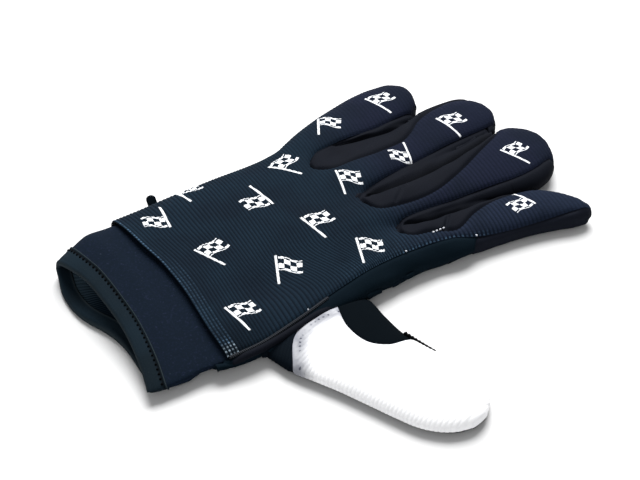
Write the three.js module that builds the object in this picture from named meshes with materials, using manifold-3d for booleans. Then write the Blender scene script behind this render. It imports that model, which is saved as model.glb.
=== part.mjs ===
// A left motocross glove lying palm down: a ribbed knit back, dark finger side
// strips and palm, a pale knit thumb and a stretch cuff with a folded edge.
// Millimetres, +Z up. +X runs from the cuff to the fingertips, -Y to the thumb.
import * as THREE from "three";
import { mergeVertices } from "three/addons/utils/BufferGeometryUtils.js";
import Module from "manifold-3d";

// Driving dimensions
const CLOTH = 1.6; // wall of the knit and the palm
const NEOPRENE = 2; // wall of the cuff
const FOLD = 3; // the cuff's edge is doubled over
const GAP = 0.3; // kept between pieces at a seam
const SINK = 1.2; // how far a round belly is pressed flat on the surface
const WIDEST = 0.42; // a section is widest at this share of its height
const THIN = { side: 0.3, upper: 0.26 }; // at a fingertip the walls are at most these shares
const BACK_LOW = 6; // the knit back wraps down the far side to this height
const STRIP_LOW = 2.6; // the finger side strips reach down to this height
const THUMB_SPLIT = 3.4; // height of the seam round the thumb
const UNDER = -5; // a cutter starts under everything
const TALL = 60; // and ends above everything
const OPEN_WRIST = -95; // the hollow runs out of the hem to here
const CUFF_INNER_END = -64; // the cuff runs on under the hems to here
const CUFF_LENGTH = 36;
const PAST_END = 0.1; // the cuff's hollow runs out of both ends by this share
const BOXY = { hand: 3, finger: 2.3, thumb: 2.4 }; // 2 is an ellipse, more is squarer
const SIDES = { hand: 30, finger: 16, thumb: 20, cuff: 28 };
const STEPS = { hem: 9, near_edge: 16, gap: 20, thumb: 8 };
const TO_ORIGIN = { x: -8.3, y: 16.93 }; // puts the origin under the box's middle

// Outlines seen from above. near is the thumb's side, far the little finger's.
// high_near and high_far are the heights of the top over each side.
const HAND = [
  // x, near, far, high_near, high_far, base
  [-86, -45.5, 50.5, 10.5, 19.5, 0],
  [-74, -46.5, 52.8, 11, 19.2, 0],
  [-60, -47.8, 54.8, 11.5, 18.6, 0],
  [-45, -46.5, 56.6, 12, 18.2, 0],
  [-30, -43.5, 58, 12.5, 18, 0],
  [-15, -40.5, 59, 13, 18, 0],
  [0, -37.8, 60.6, 13.2, 18.2, 0],
  [12, -35.8, 62.6, 13.4, 17.8, 0],
  [22, -34.4, 62, 13.2, 16.4, 0],
  [31, -33.2, 59, 11.6, 13.8, 0],
  [39, -31, 56, 8.5, 10, 0],
  [45, -27, 51, 5.5, 6, 0],
];
const FINGERS = {
  // x, near, far, high_near, high_far, base
  little: [
    [2, 43.5, 57.5, 13, 13, 0],
    [13, 44.2, 64.3, 15, 14.8, 0],
    [25, 45.8, 70.5, 16.1, 15.8, 0],
    [37, 47.2, 76.1, 16.3, 16.1, 0],
    [50, 49.4, 80.9, 15.7, 15.5, 0],
    [62, 52, 84.5, 15.1, 14.9, 0],
    [71.3, 54.4, 86.3, 14.5, 14.3, 0],
    [78.6, 57.6, 86.5, 13.7, 13.7, 0.3],
    [84.2, 62.4, 84.1, 12.5, 12.7, 0.8],
    [87.2, 67.6, 80.5, 10.9, 11.3, 1.6],
    [88.2, 71.4, 76.9, 9.3, 9.7, 3],
  ],
  ring: [
    [2, 12.8, 42.4, 13, 13, 0],
    [13, 13.2, 43, 15.2, 15.2, 0],
    [25, 15, 44.6, 16.4, 16.4, 0],
    [37, 17, 46, 16.6, 16.2, 0],
    [50, 19, 48.4, 16, 15.6, 0],
    [64, 21.8, 52, 15.4, 15, 0],
    [78, 24.6, 56.3, 15.3, 15.2, 0],
    [90.1, 27, 59.3, 14.8, 14.9, 0],
    [100.3, 29.4, 60.3, 14, 14.3, 0.3],
    [108, 32.4, 58.3, 12.8, 13.3, 0.8],
    [112.6, 36.8, 53.7, 11.4, 11.9, 1.6],
    [114.4, 41, 49.1, 9.6, 10.1, 3],
  ],
  middle: [
    [2, -12.2, 11.6, 12, 12.5, 0],
    [13, -11.4, 12, 14.4, 14.8, 0],
    [25, -10.6, 13.8, 15.6, 16, 0],
    [37, -10, 15.8, 16, 16.2, 0],
    [50, -9.6, 17.8, 15.4, 15.8, 0],
    [64, -9.2, 20.6, 15, 15.2, 0],
    [78, -9.2, 23.9, 14.7, 15.2, 0],
    [91, -9.8, 27.7, 14.5, 15.6, 0],
    [103, -9.8, 30.7, 14.2, 15.4, 0.3],
    [112, -7.4, 30.7, 13.4, 14.8, 0.8],
    [119, -2.2, 27.9, 12.2, 13.4, 1.6],
    [123.2, 4.6, 22.5, 10.6, 11.8, 2.6],
    [124.6, 9.4, 17.5, 9, 10, 3.6],
  ],
  index: [
    [2, -35.6, -13.2, 9.5, 12, 0],
    [13, -35, -12.4, 11.6, 13.4, 0],
    [25, -33.8, -11.6, 12.6, 14.4, 0],
    [37, -33, -11, 12.6, 14.6, 0],
    [50, -32.6, -10.6, 12.2, 14.2, 0.2],
    [64, -32.4, -10.2, 12.2, 13.8, 0.6],
    [78, -33, -10.2, 12.2, 13.6, 1],
    [90, -34.2, -11, 12.2, 13.4, 1.2],
    [100, -36, -13.4, 12, 12.8, 1.4],
    [108, -37.8, -18.6, 11.4, 12, 1.6],
    [113.4, -38.2, -25.2, 10.6, 11, 2],
    [116.4, -36.8, -30.4, 9, 9.2, 3.2],
  ],
};
// The thumb lies out from the hand on its own line, in its own x and y.
const THUMB_ROOT = { x: -20, y: -40, turn_deg: -70.1 };
const THUMB = [
  // x, near, far, high_near, high_far, base
  [-16, -24, 20, 8.5, 8.5, 0],
  [-4, -30.4, 24.4, 9, 9.2, 0],
  [8, -30.4, 22.2, 10, 10, 0],
  [19, -28, 17.6, 10.4, 10.4, 0],
  [32, -25.2, 13.8, 10.6, 10.6, 0],
  [46, -23, 13, 10.6, 10.6, 0],
  [58, -21.2, 14.2, 10.6, 10.6, 0],
  [67, -19.4, 15.6, 10.2, 10.2, 0],
  [74.5, -16, 14, 9.6, 9.6, 0.3],
  [80.4, -10.8, 9.6, 8.6, 8.6, 1],
  [83.4, -5.6, 4.4, 7.2, 7.2, 2.4],
];
// The mouth of the cuff isn't square: x of its edge at each y, above and below.
const MOUTH_ABOVE = [
  [-46, -100.5], [-31, -97.7], [-12, -96.6], [8, -98.3], [21, -100], [28, -101.9], [38, -103.6], [50, -104],
];
const MOUTH_BELOW = [
  [-46, -98], [-33, -98], [-18, -99], [-1, -102.3], [8, -105.7], [17, -108], [28, -108], [39, -106],
  [50, -104],
];
const MOUTH_BLEND = [1, 7]; // heights between which the edge goes from below to above

// Sections of the cuff; along is 0 at the mouth and 1 at the cuff's inner end.
const FOLD_END = 0.19; // the cuff's edge is folded back this far along
const CUFF = [
  // along, near, far, high_near, high_far, base, boxy
  [0, -45.6, 44.6, 8.6, 19.4, 0, 2.2],
  [0.19, -46, 47.6, 8.8, 19.6, 0, 2.5],
  [0.42, -45.8, 49.8, 8.8, 19.2, 0, 3],
  [0.62, -44.8, 50.4, 8.8, 17.2, 2, 3],
  [1, -45, 51.6, 9, 16.6, 2.2, 3],
];
// Shallow dents of the back: where, how deep, how long each way, and turned.
const DENT_FLOOR = 7; // nothing under this height moves
const DENTS = [
  { x: -22, y: -14, deep: 2.2, long: 34, wide: 13, turn_deg: 28 },
  { x: 6, y: 22, deep: 0.9, long: 20, wide: 14, turn_deg: -10 },
  { x: -52, y: 18, deep: 0.8, long: 16, wide: 24, turn_deg: 0 },
  { x: -44, y: -32, deep: -1.1, long: 20, wide: 9, turn_deg: 12 },
];

// The gaps between fingers, from the thumb's side on. edge is the knit's edge, in
// from one fingertip round the crotch and out to the next, a smooth curve between
// the corners before and after. past_tip takes the outline round the next fingertip.
// Each gap's side strip lies in its zone.
const GAPS = [
  {
    name: "middle_index",
    before: [112, -17.6],
    edge: [
      [100, -13.6], [80, -12.8], [66, -18.5], [55, -24.2], [45, -21.2], [35.6, -19.6],
      [31.8, -14], [35.2, -8.2], [45, -6.5], [75, -5.6], [102, -3.7], [119, 1.2],
    ],
    after: [124, -8],
    past_tip: [[132, 0], [132, 24]],
    zone: [
      [26, -10], [29, -20], [36, -25], [62, -26], [112, -24], [126, -6], [126, 2.4], [116, 5], [34, -2],
    ],
  },
  {
    name: "ring_middle",
    before: [118, 27.4],
    edge: [
      [110, 26], [91, 16], [71, 5.2], [57, 0], [42, -1.2], [30, 0.6],
      [26, 8], [29, 15], [42, 20.2], [75, 27.3], [101, 32.2], [109, 34.6],
    ],
    after: [117, 36],
    past_tip: [[124, 38], [124, 54]],
    zone: [[20, 12], [24, -2], [34, -4], [62, -3], [112, 20], [120, 30], [113, 40], [28, 24]],
  },
  {
    name: "little_ring",
    before: [100, 57],
    edge: [
      [97, 53.6], [77, 45.2], [62, 37.6], [48, 35.8], [36, 35.6], [24, 34.6],
      [17, 40.6], [23, 49], [36, 52.2], [59, 53.6], [81, 60],
    ],
    after: [84, 63],
    past_tip: [[94, 66], [94, 95]],
    zone: [[10, 48], [12, 38], [24, 32], [60, 33], [106, 51], [106, 62], [92, 66], [82, 66], [28, 60]],
  },
];
// The knit's edge on the thumb's side, from the cuff to the index tip.
const NEAR_EDGE = [
  [-66.5, -45.1], [-50, -43.8], [-30, -39], [-10, -33], [11, -28.2], [30, -27],
  [49.5, -27.2], [62, -30.4], [85, -32.8], [111, -35.4],
];
const NEAR_TIP = [[121, -36], [121, -20]];
const FAR_CORNER = [-40, 95]; // takes the knit's outline round the far side
// The strip up the index finger's near side.
const INDEX_ZONE = [[57, -28.5], [57, -50], [122, -50], [122, -34], [112, -28.5]];
// The folded hem over the cuff, from the near side to the far side.
const HEM = [
  [-66.5, -45.1], [-67.4, -30], [-67.2, -8], [-68.6, 10], [-72.6, 28], [-75, 46], [-76, 62],
];
// Corners well clear of the glove, where the cutters' outlines are closed.
const CLEAR = { near: -140, far: 110, tips: 140 };
// The seams of the thumb: round its root, and round the pale panel.
const THUMB_ROOT_SEAM = [[-52, -47], [-38, -44.2], [-24, -39.2], [-12.7, -38.8], [5, -37.6]];
const PALE_ROOT_EDGE = [
  [-48, -66], [-44, -59], [-38.4, -48.6], [-32.3, -43.4], [-24.7, -40.4], [-12.7, -39.4],
];
const GUSSET_EDGE = [[-12.7, -39.4], [-15.2, -52], [-12.8, -64], [-5.6, -69.8], [4, -71], [16, -71.4]];

const GUSSET_CLEAR = [[20, -50], [8, -30], [-13, -30]];
const THUMB_CLEAR = { beside: [20, -60], right: 40, left: -80 };

// A short black tape end sewn into the far seam, tilted up.
const TAB = { x: -53, y: 56.6, z: 5.6, wide: 4.4, long: 7, thick: 1.3, tilt_deg: 38 };

const wasm = await Module();
wasm.setup();

// A closed geometry as a solid that can be cut and joined.
function solid(geometry) {
  const bare = geometry.clone();
  bare.deleteAttribute("normal");
  bare.deleteAttribute("uv");
  const merged = mergeVertices(bare, 1e-4);
  const mesh = new wasm.Mesh({
    numProp: 3,
    vertProperties: merged.getAttribute("position").array,
    triVerts: new Uint32Array(merged.index.array),
  });
  return new wasm.Manifold(mesh);
}

// Cutting a curved skin can leave crumbs beside the piece itself.
function largest(piece) {
  const bodies = piece.decompose();
  return bodies.reduce((best, body) => (body.volume() > best.volume() ? body : best));
}

function geometryOf(piece) {
  const { vertProperties, triVerts } = piece.getMesh();
  const geometry = new THREE.BufferGeometry();
  geometry.setAttribute("position", new THREE.BufferAttribute(vertProperties, 3));
  geometry.setIndex(new THREE.BufferAttribute(triVerts, 1));
  geometry.computeVertexNormals();
  return geometry;
}

const lerp = THREE.MathUtils.lerp;
const power = (value, exponent) => Math.sign(value) * Math.abs(value) ** exponent;

// A row of a table as a ring of points: a flattened oval, pressed flat below.
function ring([x, near, far, highNear, highFar, base], sides, boxy) {
  const middle = base + WIDEST * ((highNear + highFar) / 2 - base);
  return Array.from({ length: sides }, (_, i) => {
    const angle = (2 * Math.PI * i) / sides;
    const across = power(Math.cos(angle), 2 / boxy);
    const up = power(Math.sin(angle), 2 / boxy);
    const y = lerp(near, far, (1 + across) / 2);
    const high = lerp(highNear, highFar, (1 + across) / 2);
    const below = Math.max(base, middle + (middle - base + SINK) * up);
    return new THREE.Vector3(x, y, up > 0 ? middle + (high - middle) * up : below);
  });
}

// A ring of the cuff, drawn along from the uneven mouth to the straight inner end.
function cuffRing(row) {
  const points = ring(row, SIDES.cuff, row[6]);
  for (const point of points) {
    const above = THREE.MathUtils.smoothstep(point.z - row[5], ...MOUTH_BLEND);
    const mouth = lerp(valueOn(MOUTH_BELOW, point.y), valueOn(MOUTH_ABOVE, point.y), above);
    point.x = lerp(mouth, CUFF_INNER_END, row[0]);
    dented(point);
  }
  return points;
}

// A skin over rings of equal counts, closed by a fan at each end.
function loft(rings) {
  const sides = rings[0].length;
  const points = rings.flat();
  const faces = [];
  for (let r = 0; r + 1 < rings.length; r++)
    for (let i = 0; i < sides; i++) {
      const j = (i + 1) % sides;
      const [a, b, c, d] = [r * sides + i, r * sides + j, (r + 1) * sides + j, (r + 1) * sides + i];
      faces.push(a, b, c, a, c, d);
    }
  const cap = (start, flip) => {
    const centre = new THREE.Vector3();
    for (let i = 0; i < sides; i++) centre.addScaledVector(points[start + i], 1 / sides);
    points.push(centre);
    for (let i = 0; i < sides; i++) {
      const j = (i + 1) % sides;
      faces.push(points.length - 1, ...(flip ? [start + j, start + i] : [start + i, start + j]));
    }
  };
  cap(0, true);
  cap((rings.length - 1) * sides, false);
  return solid(new THREE.BufferGeometry().setFromPoints(points).setIndex(faces));
}

// The rows of the hollow inside a wall, ending short of the tip by the wall.
function hollowRows(rows, wall, openAt = null) {
  const start = rows[0][0];
  const length = rows[rows.length - 1][0] - start;
  return rows.map(([x, near, far, highNear, highFar, base], i) => {
    const side = Math.min(wall, THIN.side * (far - near));
    const upper = Math.min(wall, THIN.upper * (highNear - base));
    return [
      i === 0 && openAt !== null ? openAt : x - (wall * (x - start)) / length,
      near + side, far - side, highNear - upper, highFar - upper, base + upper,
    ];
  });
}

function dented(point) {
  if (point.z < DENT_FLOOR) return point;
  let drop = 0;
  for (const { x, y, deep, long, wide, turn_deg } of DENTS) {
    const offset = new THREE.Vector2(point.x - x, point.y - y);
    offset.rotateAround(new THREE.Vector2(), -THREE.MathUtils.degToRad(turn_deg));
    drop += deep * Math.exp(-((offset.x / long) ** 2) - (offset.y / wide) ** 2);
  }
  point.z -= drop;
  return point;
}

const tube = (rows, sides, boxy) => loft(rows.map((row) => ring(row, sides, boxy)));
const handTube = (rows) =>
  loft(rows.map((row) => ring(row, SIDES.hand, BOXY.hand).map(dented)));
const cuffTube = (rows) => loft(rows.map(cuffRing));
const fingerTube = (rows) => tube(rows, SIDES.finger, BOXY.finger);
const thumbPlace = new THREE.Matrix4()
  .makeRotationZ(THREE.MathUtils.degToRad(THUMB_ROOT.turn_deg))
  .setPosition(THUMB_ROOT.x, THUMB_ROOT.y, 0);
const thumbTube = (rows) => tube(rows, SIDES.thumb, BOXY.thumb).transform(thumbPlace.elements);

const joined = (pieces) => pieces.reduce((all, piece) => all.add(piece));

// An upright cutter over an outline seen from above.
function prism(outline, low = UNDER, high = TALL) {
  const shape = new THREE.Shape(outline.map(([x, y]) => new THREE.Vector2(x, y)));
  const block = new THREE.ExtrudeGeometry(shape, { depth: high - low, bevelEnabled: false });
  return solid(block.translate(0, 0, low));
}

// An outline moved outwards by a distance, with its corners mitred.
function grown(outline, by) {
  const counter = THREE.ShapeUtils.area(outline.map(([x, y]) => new THREE.Vector2(x, y))) > 0;
  const side = counter ? by : -by;
  return outline.map(([x, y], i) => {
    const [px, py] = outline[(i + outline.length - 1) % outline.length];
    const [nx, ny] = outline[(i + 1) % outline.length];
    const before = new THREE.Vector2(x - px, y - py).normalize();
    const after = new THREE.Vector2(nx - x, ny - y).normalize();
    const out = new THREE.Vector2(before.y + after.y, -before.x - after.x);
    const stretch = (2 * side) / Math.max(out.lengthSq(), 0.6);
    return [x + out.x * stretch, y + out.y * stretch];
  });
}

function valueOn(line, x) {
  const last = line.length - 1;
  if (x <= line[0][0]) return line[0][1];
  if (x >= line[last][0]) return line[last][1];
  const i = line.findIndex(([right]) => right > x) - 1;
  const [[x0, y0], [x1, y1]] = [line[i], line[i + 1]];
  return lerp(y0, y1, (x - x0) / (x1 - x0));
}

// A seam as a smooth curve through its points, in short straight steps.
function curved(points, steps) {
  const curve = new THREE.SplineCurve(points.map(([x, y]) => new THREE.Vector2(x, y)));
  return curve.getPoints(steps).map(({ x, y }) => [x, y]);
}

// The hand, fingers and thumb as one skin, open where the cuff comes in.
const outside = joined([
  handTube(HAND),
  ...Object.values(FINGERS).map(fingerTube),
  thumbTube(THUMB),
]);
const inside = joined([
  handTube(hollowRows(HAND, CLOTH, OPEN_WRIST)),
  ...Object.values(FINGERS).map((rows) => fingerTube(hollowRows(rows, CLOTH))),
  thumbTube(hollowRows(THUMB, CLOTH)),
]);
const hem = curved(HEM, STEPS.hem);
const pastHem = prism([
  ...hem,
  [hem[hem.length - 1][0], CLEAR.far],
  [CLEAR.tips, CLEAR.far],
  [CLEAR.tips, CLEAR.near],
  [hem[0][0], CLEAR.near],
]);
const skin = outside.subtract(inside).intersect(pastHem);

const backOutline = [
  ...curved(NEAR_EDGE, STEPS.near_edge),
  ...NEAR_TIP,
  ...GAPS.flatMap(({ before, edge, after, past_tip }) => [
    before,
    ...curved(edge, STEPS.gap),
    after,
    ...past_tip,
  ]),
  FAR_CORNER,
  ...hem.slice(1).reverse(),
];
const backPanel = skin.intersect(prism(backOutline, BACK_LOW));
const withoutBack = skin.subtract(prism(grown(backOutline, GAP), BACK_LOW - GAP));
const sideStrip = (zone) => withoutBack.intersect(prism(zone, STRIP_LOW));

// The thumb's own panels, out from the seam where it joins the hand.
const thumbZone = [
  ...curved(THUMB_ROOT_SEAM, STEPS.thumb),
  THUMB_CLEAR.beside,
  [THUMB_CLEAR.right, CLEAR.near],
  [THUMB_CLEAR.left, CLEAR.near],
];
const paleRoot = curved(PALE_ROOT_EDGE, STEPS.thumb);
const gussetEdge = curved(GUSSET_EDGE, STEPS.thumb);
const paleOutline = [
  ...paleRoot,
  ...gussetEdge.slice(1),
  [THUMB_CLEAR.right, CLEAR.near],
  [THUMB_CLEAR.left, CLEAR.near],
];
const gussetOutline = [...gussetEdge, ...GUSSET_CLEAR];
const thumbSkin = skin.intersect(prism(thumbZone, THUMB_SPLIT));
const thumbBack = thumbSkin.intersect(prism(paleOutline));
const besidePale = thumbSkin.subtract(prism(grown(paleOutline, GAP)));
const thumbGusset = besidePale.intersect(prism(gussetOutline));
const thumbBase = besidePale.subtract(prism(grown(gussetOutline, GAP)));
const thumbPalm = skin.intersect(prism(thumbZone, UNDER, THUMB_SPLIT - GAP));

// The palm is what is left: the underside, and up the near side to the knit.
const palm = [...GAPS.map(({ zone }) => zone), INDEX_ZONE]
  .reduce((left, zone) => left.subtract(prism(grown(zone, GAP), STRIP_LOW - GAP)), withoutBack)
  .subtract(prism(grown(thumbZone, GAP)));

// The cuff and its folded edge, each a wall between an outer and an inner tube.
function rowAt(along) {
  const next = Math.max(1, CUFF.findIndex(([start]) => start >= along));
  const [from, to] = [CUFF[next - 1], CUFF[next]];
  const share = (along - from[0]) / (to[0] - from[0]);
  return from.map((value, i) => lerp(value, to[i], share));
}

function cuffWall(start, end, wall) {
  const between = CUFF.filter(([along]) => along > start && along < end);
  const rows = [rowAt(start), ...between, rowAt(end)];
  const inner = rows.map(([along, near, far, highNear, highFar, base, boxy]) => [
    along, near + wall, far - wall, highNear - wall, highFar - wall, base + wall, boxy,
  ]);
  inner[0][0] -= PAST_END;
  inner[inner.length - 1][0] += PAST_END;
  return cuffTube(rows).subtract(cuffTube(inner));
}

const cuffFold = cuffWall(0, FOLD_END, FOLD);
const cuffBand = cuffWall(FOLD_END + GAP / CUFF_LENGTH, 1, NEOPRENE);

// The tape end: straight sides and a round tip, standing clear of the seam.
function tapeEnd({ x, y, z, wide, long, thick, tilt_deg }) {
  const half = wide / 2;
  const outline = new THREE.Shape()
    .moveTo(-half, 0)
    .lineTo(half, 0)
    .lineTo(half, long - half)
    .absarc(0, long - half, half, 0, Math.PI)
    .closePath();
  const tape = new THREE.ExtrudeGeometry(outline, { depth: thick, bevelEnabled: false, curveSegments: 8 });
  tape.rotateX(THREE.MathUtils.degToRad(tilt_deg));
  return solid(tape.translate(x, y, z));
}

const colour = (r, g, b) => new THREE.Color().setRGB(r, g, b);
const finish = {
  back_knit: { color: colour(0.035, 0.045, 0.065), roughness: 0.8, metalness: 0 },
  smooth_fabric: { color: colour(0.035, 0.032, 0.034), roughness: 0.7, metalness: 0 },
  palm_suede: { color: colour(0.02, 0.022, 0.026), roughness: 0.75, metalness: 0 },
  pale_knit: { color: colour(0.86, 0.86, 0.88), roughness: 0.85, metalness: 0 },
  neoprene: { color: colour(0.025, 0.032, 0.05), roughness: 0.85, metalness: 0 },
};

const glove = new THREE.Group();
glove.name = "glove";
glove.position.set(TO_ORIGIN.x, TO_ORIGIN.y, 0);

function addPiece(name, piece, look) {
  const mesh = new THREE.Mesh(geometryOf(largest(piece)), new THREE.MeshStandardMaterial(finish[look]));
  mesh.name = name;
  glove.add(mesh);
}

addPiece("back_panel", backPanel, "back_knit");
addPiece("palm_panel", palm, "palm_suede");
for (const { name, zone } of GAPS) addPiece(`side_strip_${name}`, sideStrip(zone), "smooth_fabric");
addPiece("side_strip_index", sideStrip(INDEX_ZONE), "smooth_fabric");
addPiece("thumb_back", thumbBack, "pale_knit");
addPiece("thumb_gusset", thumbGusset, "palm_suede");
addPiece("thumb_base", thumbBase, "back_knit");
addPiece("thumb_palm", thumbPalm, "palm_suede");
addPiece("cuff_band", cuffBand, "neoprene");
addPiece("cuff_fold", cuffFold, "neoprene");
addPiece("seam_tab", tapeEnd(TAB), "palm_suede");

export default glove;
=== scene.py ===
"""A left motocross glove lying palm down, dressed over its CAD frame and set on a pale floor."""

import math

import bmesh
import bpy
import numpy as np
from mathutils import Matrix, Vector


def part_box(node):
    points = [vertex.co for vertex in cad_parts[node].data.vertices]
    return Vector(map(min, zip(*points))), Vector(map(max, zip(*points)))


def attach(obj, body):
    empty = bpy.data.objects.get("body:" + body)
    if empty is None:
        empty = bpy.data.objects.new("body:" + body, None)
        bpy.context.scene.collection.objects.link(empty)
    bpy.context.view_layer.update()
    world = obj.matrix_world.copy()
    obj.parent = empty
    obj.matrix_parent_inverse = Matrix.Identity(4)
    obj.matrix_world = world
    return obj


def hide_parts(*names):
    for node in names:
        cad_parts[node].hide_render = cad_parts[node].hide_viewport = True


bl_info = {
    "name": "Motocross glove",
    "version": (1, 0, 0),
    "blender": (4, 5, 0),
    "location": "View3D > Sidebar > Glove",
    "description": "Ribbed knit back, dark side strips, pale thumb and stretch cuff of a glove",
    "category": "Mesh",
}

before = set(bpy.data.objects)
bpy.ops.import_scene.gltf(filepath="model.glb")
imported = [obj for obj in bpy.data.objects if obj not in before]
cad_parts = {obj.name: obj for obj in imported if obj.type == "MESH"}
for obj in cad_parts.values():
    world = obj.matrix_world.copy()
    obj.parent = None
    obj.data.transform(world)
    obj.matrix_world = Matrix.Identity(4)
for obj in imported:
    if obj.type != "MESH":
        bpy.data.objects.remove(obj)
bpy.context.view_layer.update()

# The glove is laid out in millimetres: +X from the cuff to the fingertips, -Y to the
# thumb, +Z up. TO_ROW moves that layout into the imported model's frame.
MM = 0.001
TO_ROW = np.array([-8.3, 16.93, 0.0])

# Sections: at which share of their height they are widest, how far their underside is
# pressed flat, how squarely they bend (2 is an oval), how steeply heights fall away beside
# and past a limb, and how softly neighbouring surfaces run into each other.
WIDEST = 0.42
PRESSED = 1.2
BOXY = {"hand": 3, "finger": 2.3, "thumb": 2.1}
SIDE_STEEP = 25.0
END_STEEP = 8.0
START_STEEP = 2.0
SOFT_JOIN = 0.8

# Heights at which the cloths end: the knit, the palm's part on the thumb's side, rows that
# run into a strip and are left uncut, the strips, the palm under the fingers and beside the
# hand, the seam round the thumb, its underside and the closed fingertips.
BACK_LOW = 6.0
SIDE_LOW = 5.6
UNCUT = -9.0
STRIP_LOW = 2.6
PALM_LOW = 2.3
PALM_HIGH = 5.7
THUMB_SPLIT = 3.4
THUMB_PALM = 3.1
TIP_LOW = 5.9

# Places along the glove: the hem's first rib, the palm's hem, where the fingers get their
# own ribs and their own undersides, and the end of the palm's leaf beside the index finger.
HEM_U = -70.0
PALM_HEM = -66.5
FINGERS_FROM = 35.0
PALM_FINGERS_FROM = 46.0
LEAF_END = 58.0

# How far the palm and the undersides reach past an outline, to meet the side above.
PAST_OUTLINE = 0.3

# The ribs follow the hem, less and less from the first of these places to the second. Then
# they bend in the hollow of the hand: how far, and where that fades across the hand, begins
# and ends.
HEM_FOLLOWED = (-70, -26)
BEND = 9.0
BEND_ACROSS = (-30, -2)
BEND_BEGINS = (-52, -22)
BEND_ENDS = (-8, 26)

# The unevenness of cloth that lies empty: height and lengths of a wave and a ripple.
WAVE = {"high": 0.22, "x": 9.1, "y": 10.7, "sway": 13.0}
RIPPLE = {"high": 0.12, "x": 4.7, "y": 6.1}

# Samples across a row before it is spaced anew, distances from its ends afterwards, rows
# for each rib, how square a rib is, and how far the hem's free edge stands up.
SAMPLES = 180
EDGE_STEPS = np.array([0.0, 0.3, 0.7, 1.3, 2.2])
ROWS_PER_RIB = 4
ROWS_PER_THUMB_RIB = 6
RIB_SQUARE = 2.5
HEM_LIFT = 0.4

# The strips: how far they are tucked under the knit, how much further at the fingertips,
# how deep they lie under it at the crotch, how far each half swells, below which width they
# are flatter, and the fine slit between the halves. Then the groove round that slit: how
# wide, and how much painted shade it gets for each millimetre of depth.
TUCKED = 0.5
TUCKED_AT_TIPS = 0.5
UNDER_KNIT = 1.1
SWELL = (0.9, 0.8)
NARROW = 8
SLIT_DEEP = 1.5
SLIT_WIDE = 0.75
GROOVE_WIDE = 2.4
GROOVE_PAINTED_SHADE = 0.25

# The palm on the thumb's side: how far it leans to the tips beside the index finger, how
# far its hem draws back and in towards the cuff, the groove under the binding (depth, width,
# height) and the bulge at the index finger's root: how far it stands out, then its width and
# its middle in x and in z.
LEAN = 4.5
HEM_BACK = 5.5
HEM_IN = 1.1
SIDE_GROOVE = (0.8, 0.9, 5.2)
BULGE = (1.8, (8, 51), (3, 6.5))

# How long a stitch of the knit is along its rib, and a bead of its painted highlights, and
# how far apart the needle holes lie in the pale knit.
STITCH_LONG = 0.9
BEAD_LONG = 1.7
HOLES_APART = 2.5

# Thickness of the cloths that have no size of their own in GloveSizes.
PALM_WALL = 1.3
SIDE_WALL = 1.2

# The cuff: where its hidden end lies, its length, its sides, the shares of its length that
# the outer tape and the bare rim inside take, the tape's thickness and its inner edge's.
CUFF_INNER_END = -64.0
CUFF_LONG = 36.0
CUFF_SIDES = 144
FOLD_END = 0.19
LINING_FROM = 0.11
TAPE_THICK = 3.0
TAPE_EDGE = 1.6

# Stitches and the tape's end: where four tacks lie at the index finger's root and three on
# the near seam, the last stitches of the thumb's far seam, and the tape end's own sizes.
ROOT_TACKS = np.linspace(43.6, 49.0, 4)
NEAR_TACKS = (-25.5, 27.3, 60.7)
THUMB_STITCHES = (31.5, 48.5)
TAPE_END = {"wide": 4.4, "long": 7.0, "thick": 1.3, "tilt": 38.0, "corner": 2.0, "rim": 0.4}

# The stage: the photograph's camera in degrees and metres, with the height it looks at in
# millimetres, round lights with place, width and watts, the floor's half width, the sky.
CAMERA = {"azimuth": -28, "elevation": 41, "field": 19.6, "distance": 0.8, "aim": 10}
SENSOR = 36
LIGHTS = {
    "key": ((0.41, 0.78, 1.12), 1.25, 46),
    "fill": ((-0.5, -0.95, 0.7), 1.1, 4.2),
}
FLOOR_REACH = 3
FLOOR_COLOUR = (0.7, 0.7, 0.7, 1)
SKY_COLOUR = (0.97, 0.985, 1, 1)
SKY_STRENGTH = 0.3

# How many times brighter than its colour a dark cloth reads under the stage's light, how
# many places are measured at a time, the layers of a sheet with how many numbers each has,
# and in metres how near two places become one and how short an edge is left out.
STAGE_LIGHT = 2.1
AT_ONCE = 4000
LAYERS = {"weave": 3, "finish": 3, "rise": 1, "gleam": 1}
SAME_PLACE = 4e-6
NO_EDGE = 2e-6

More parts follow.
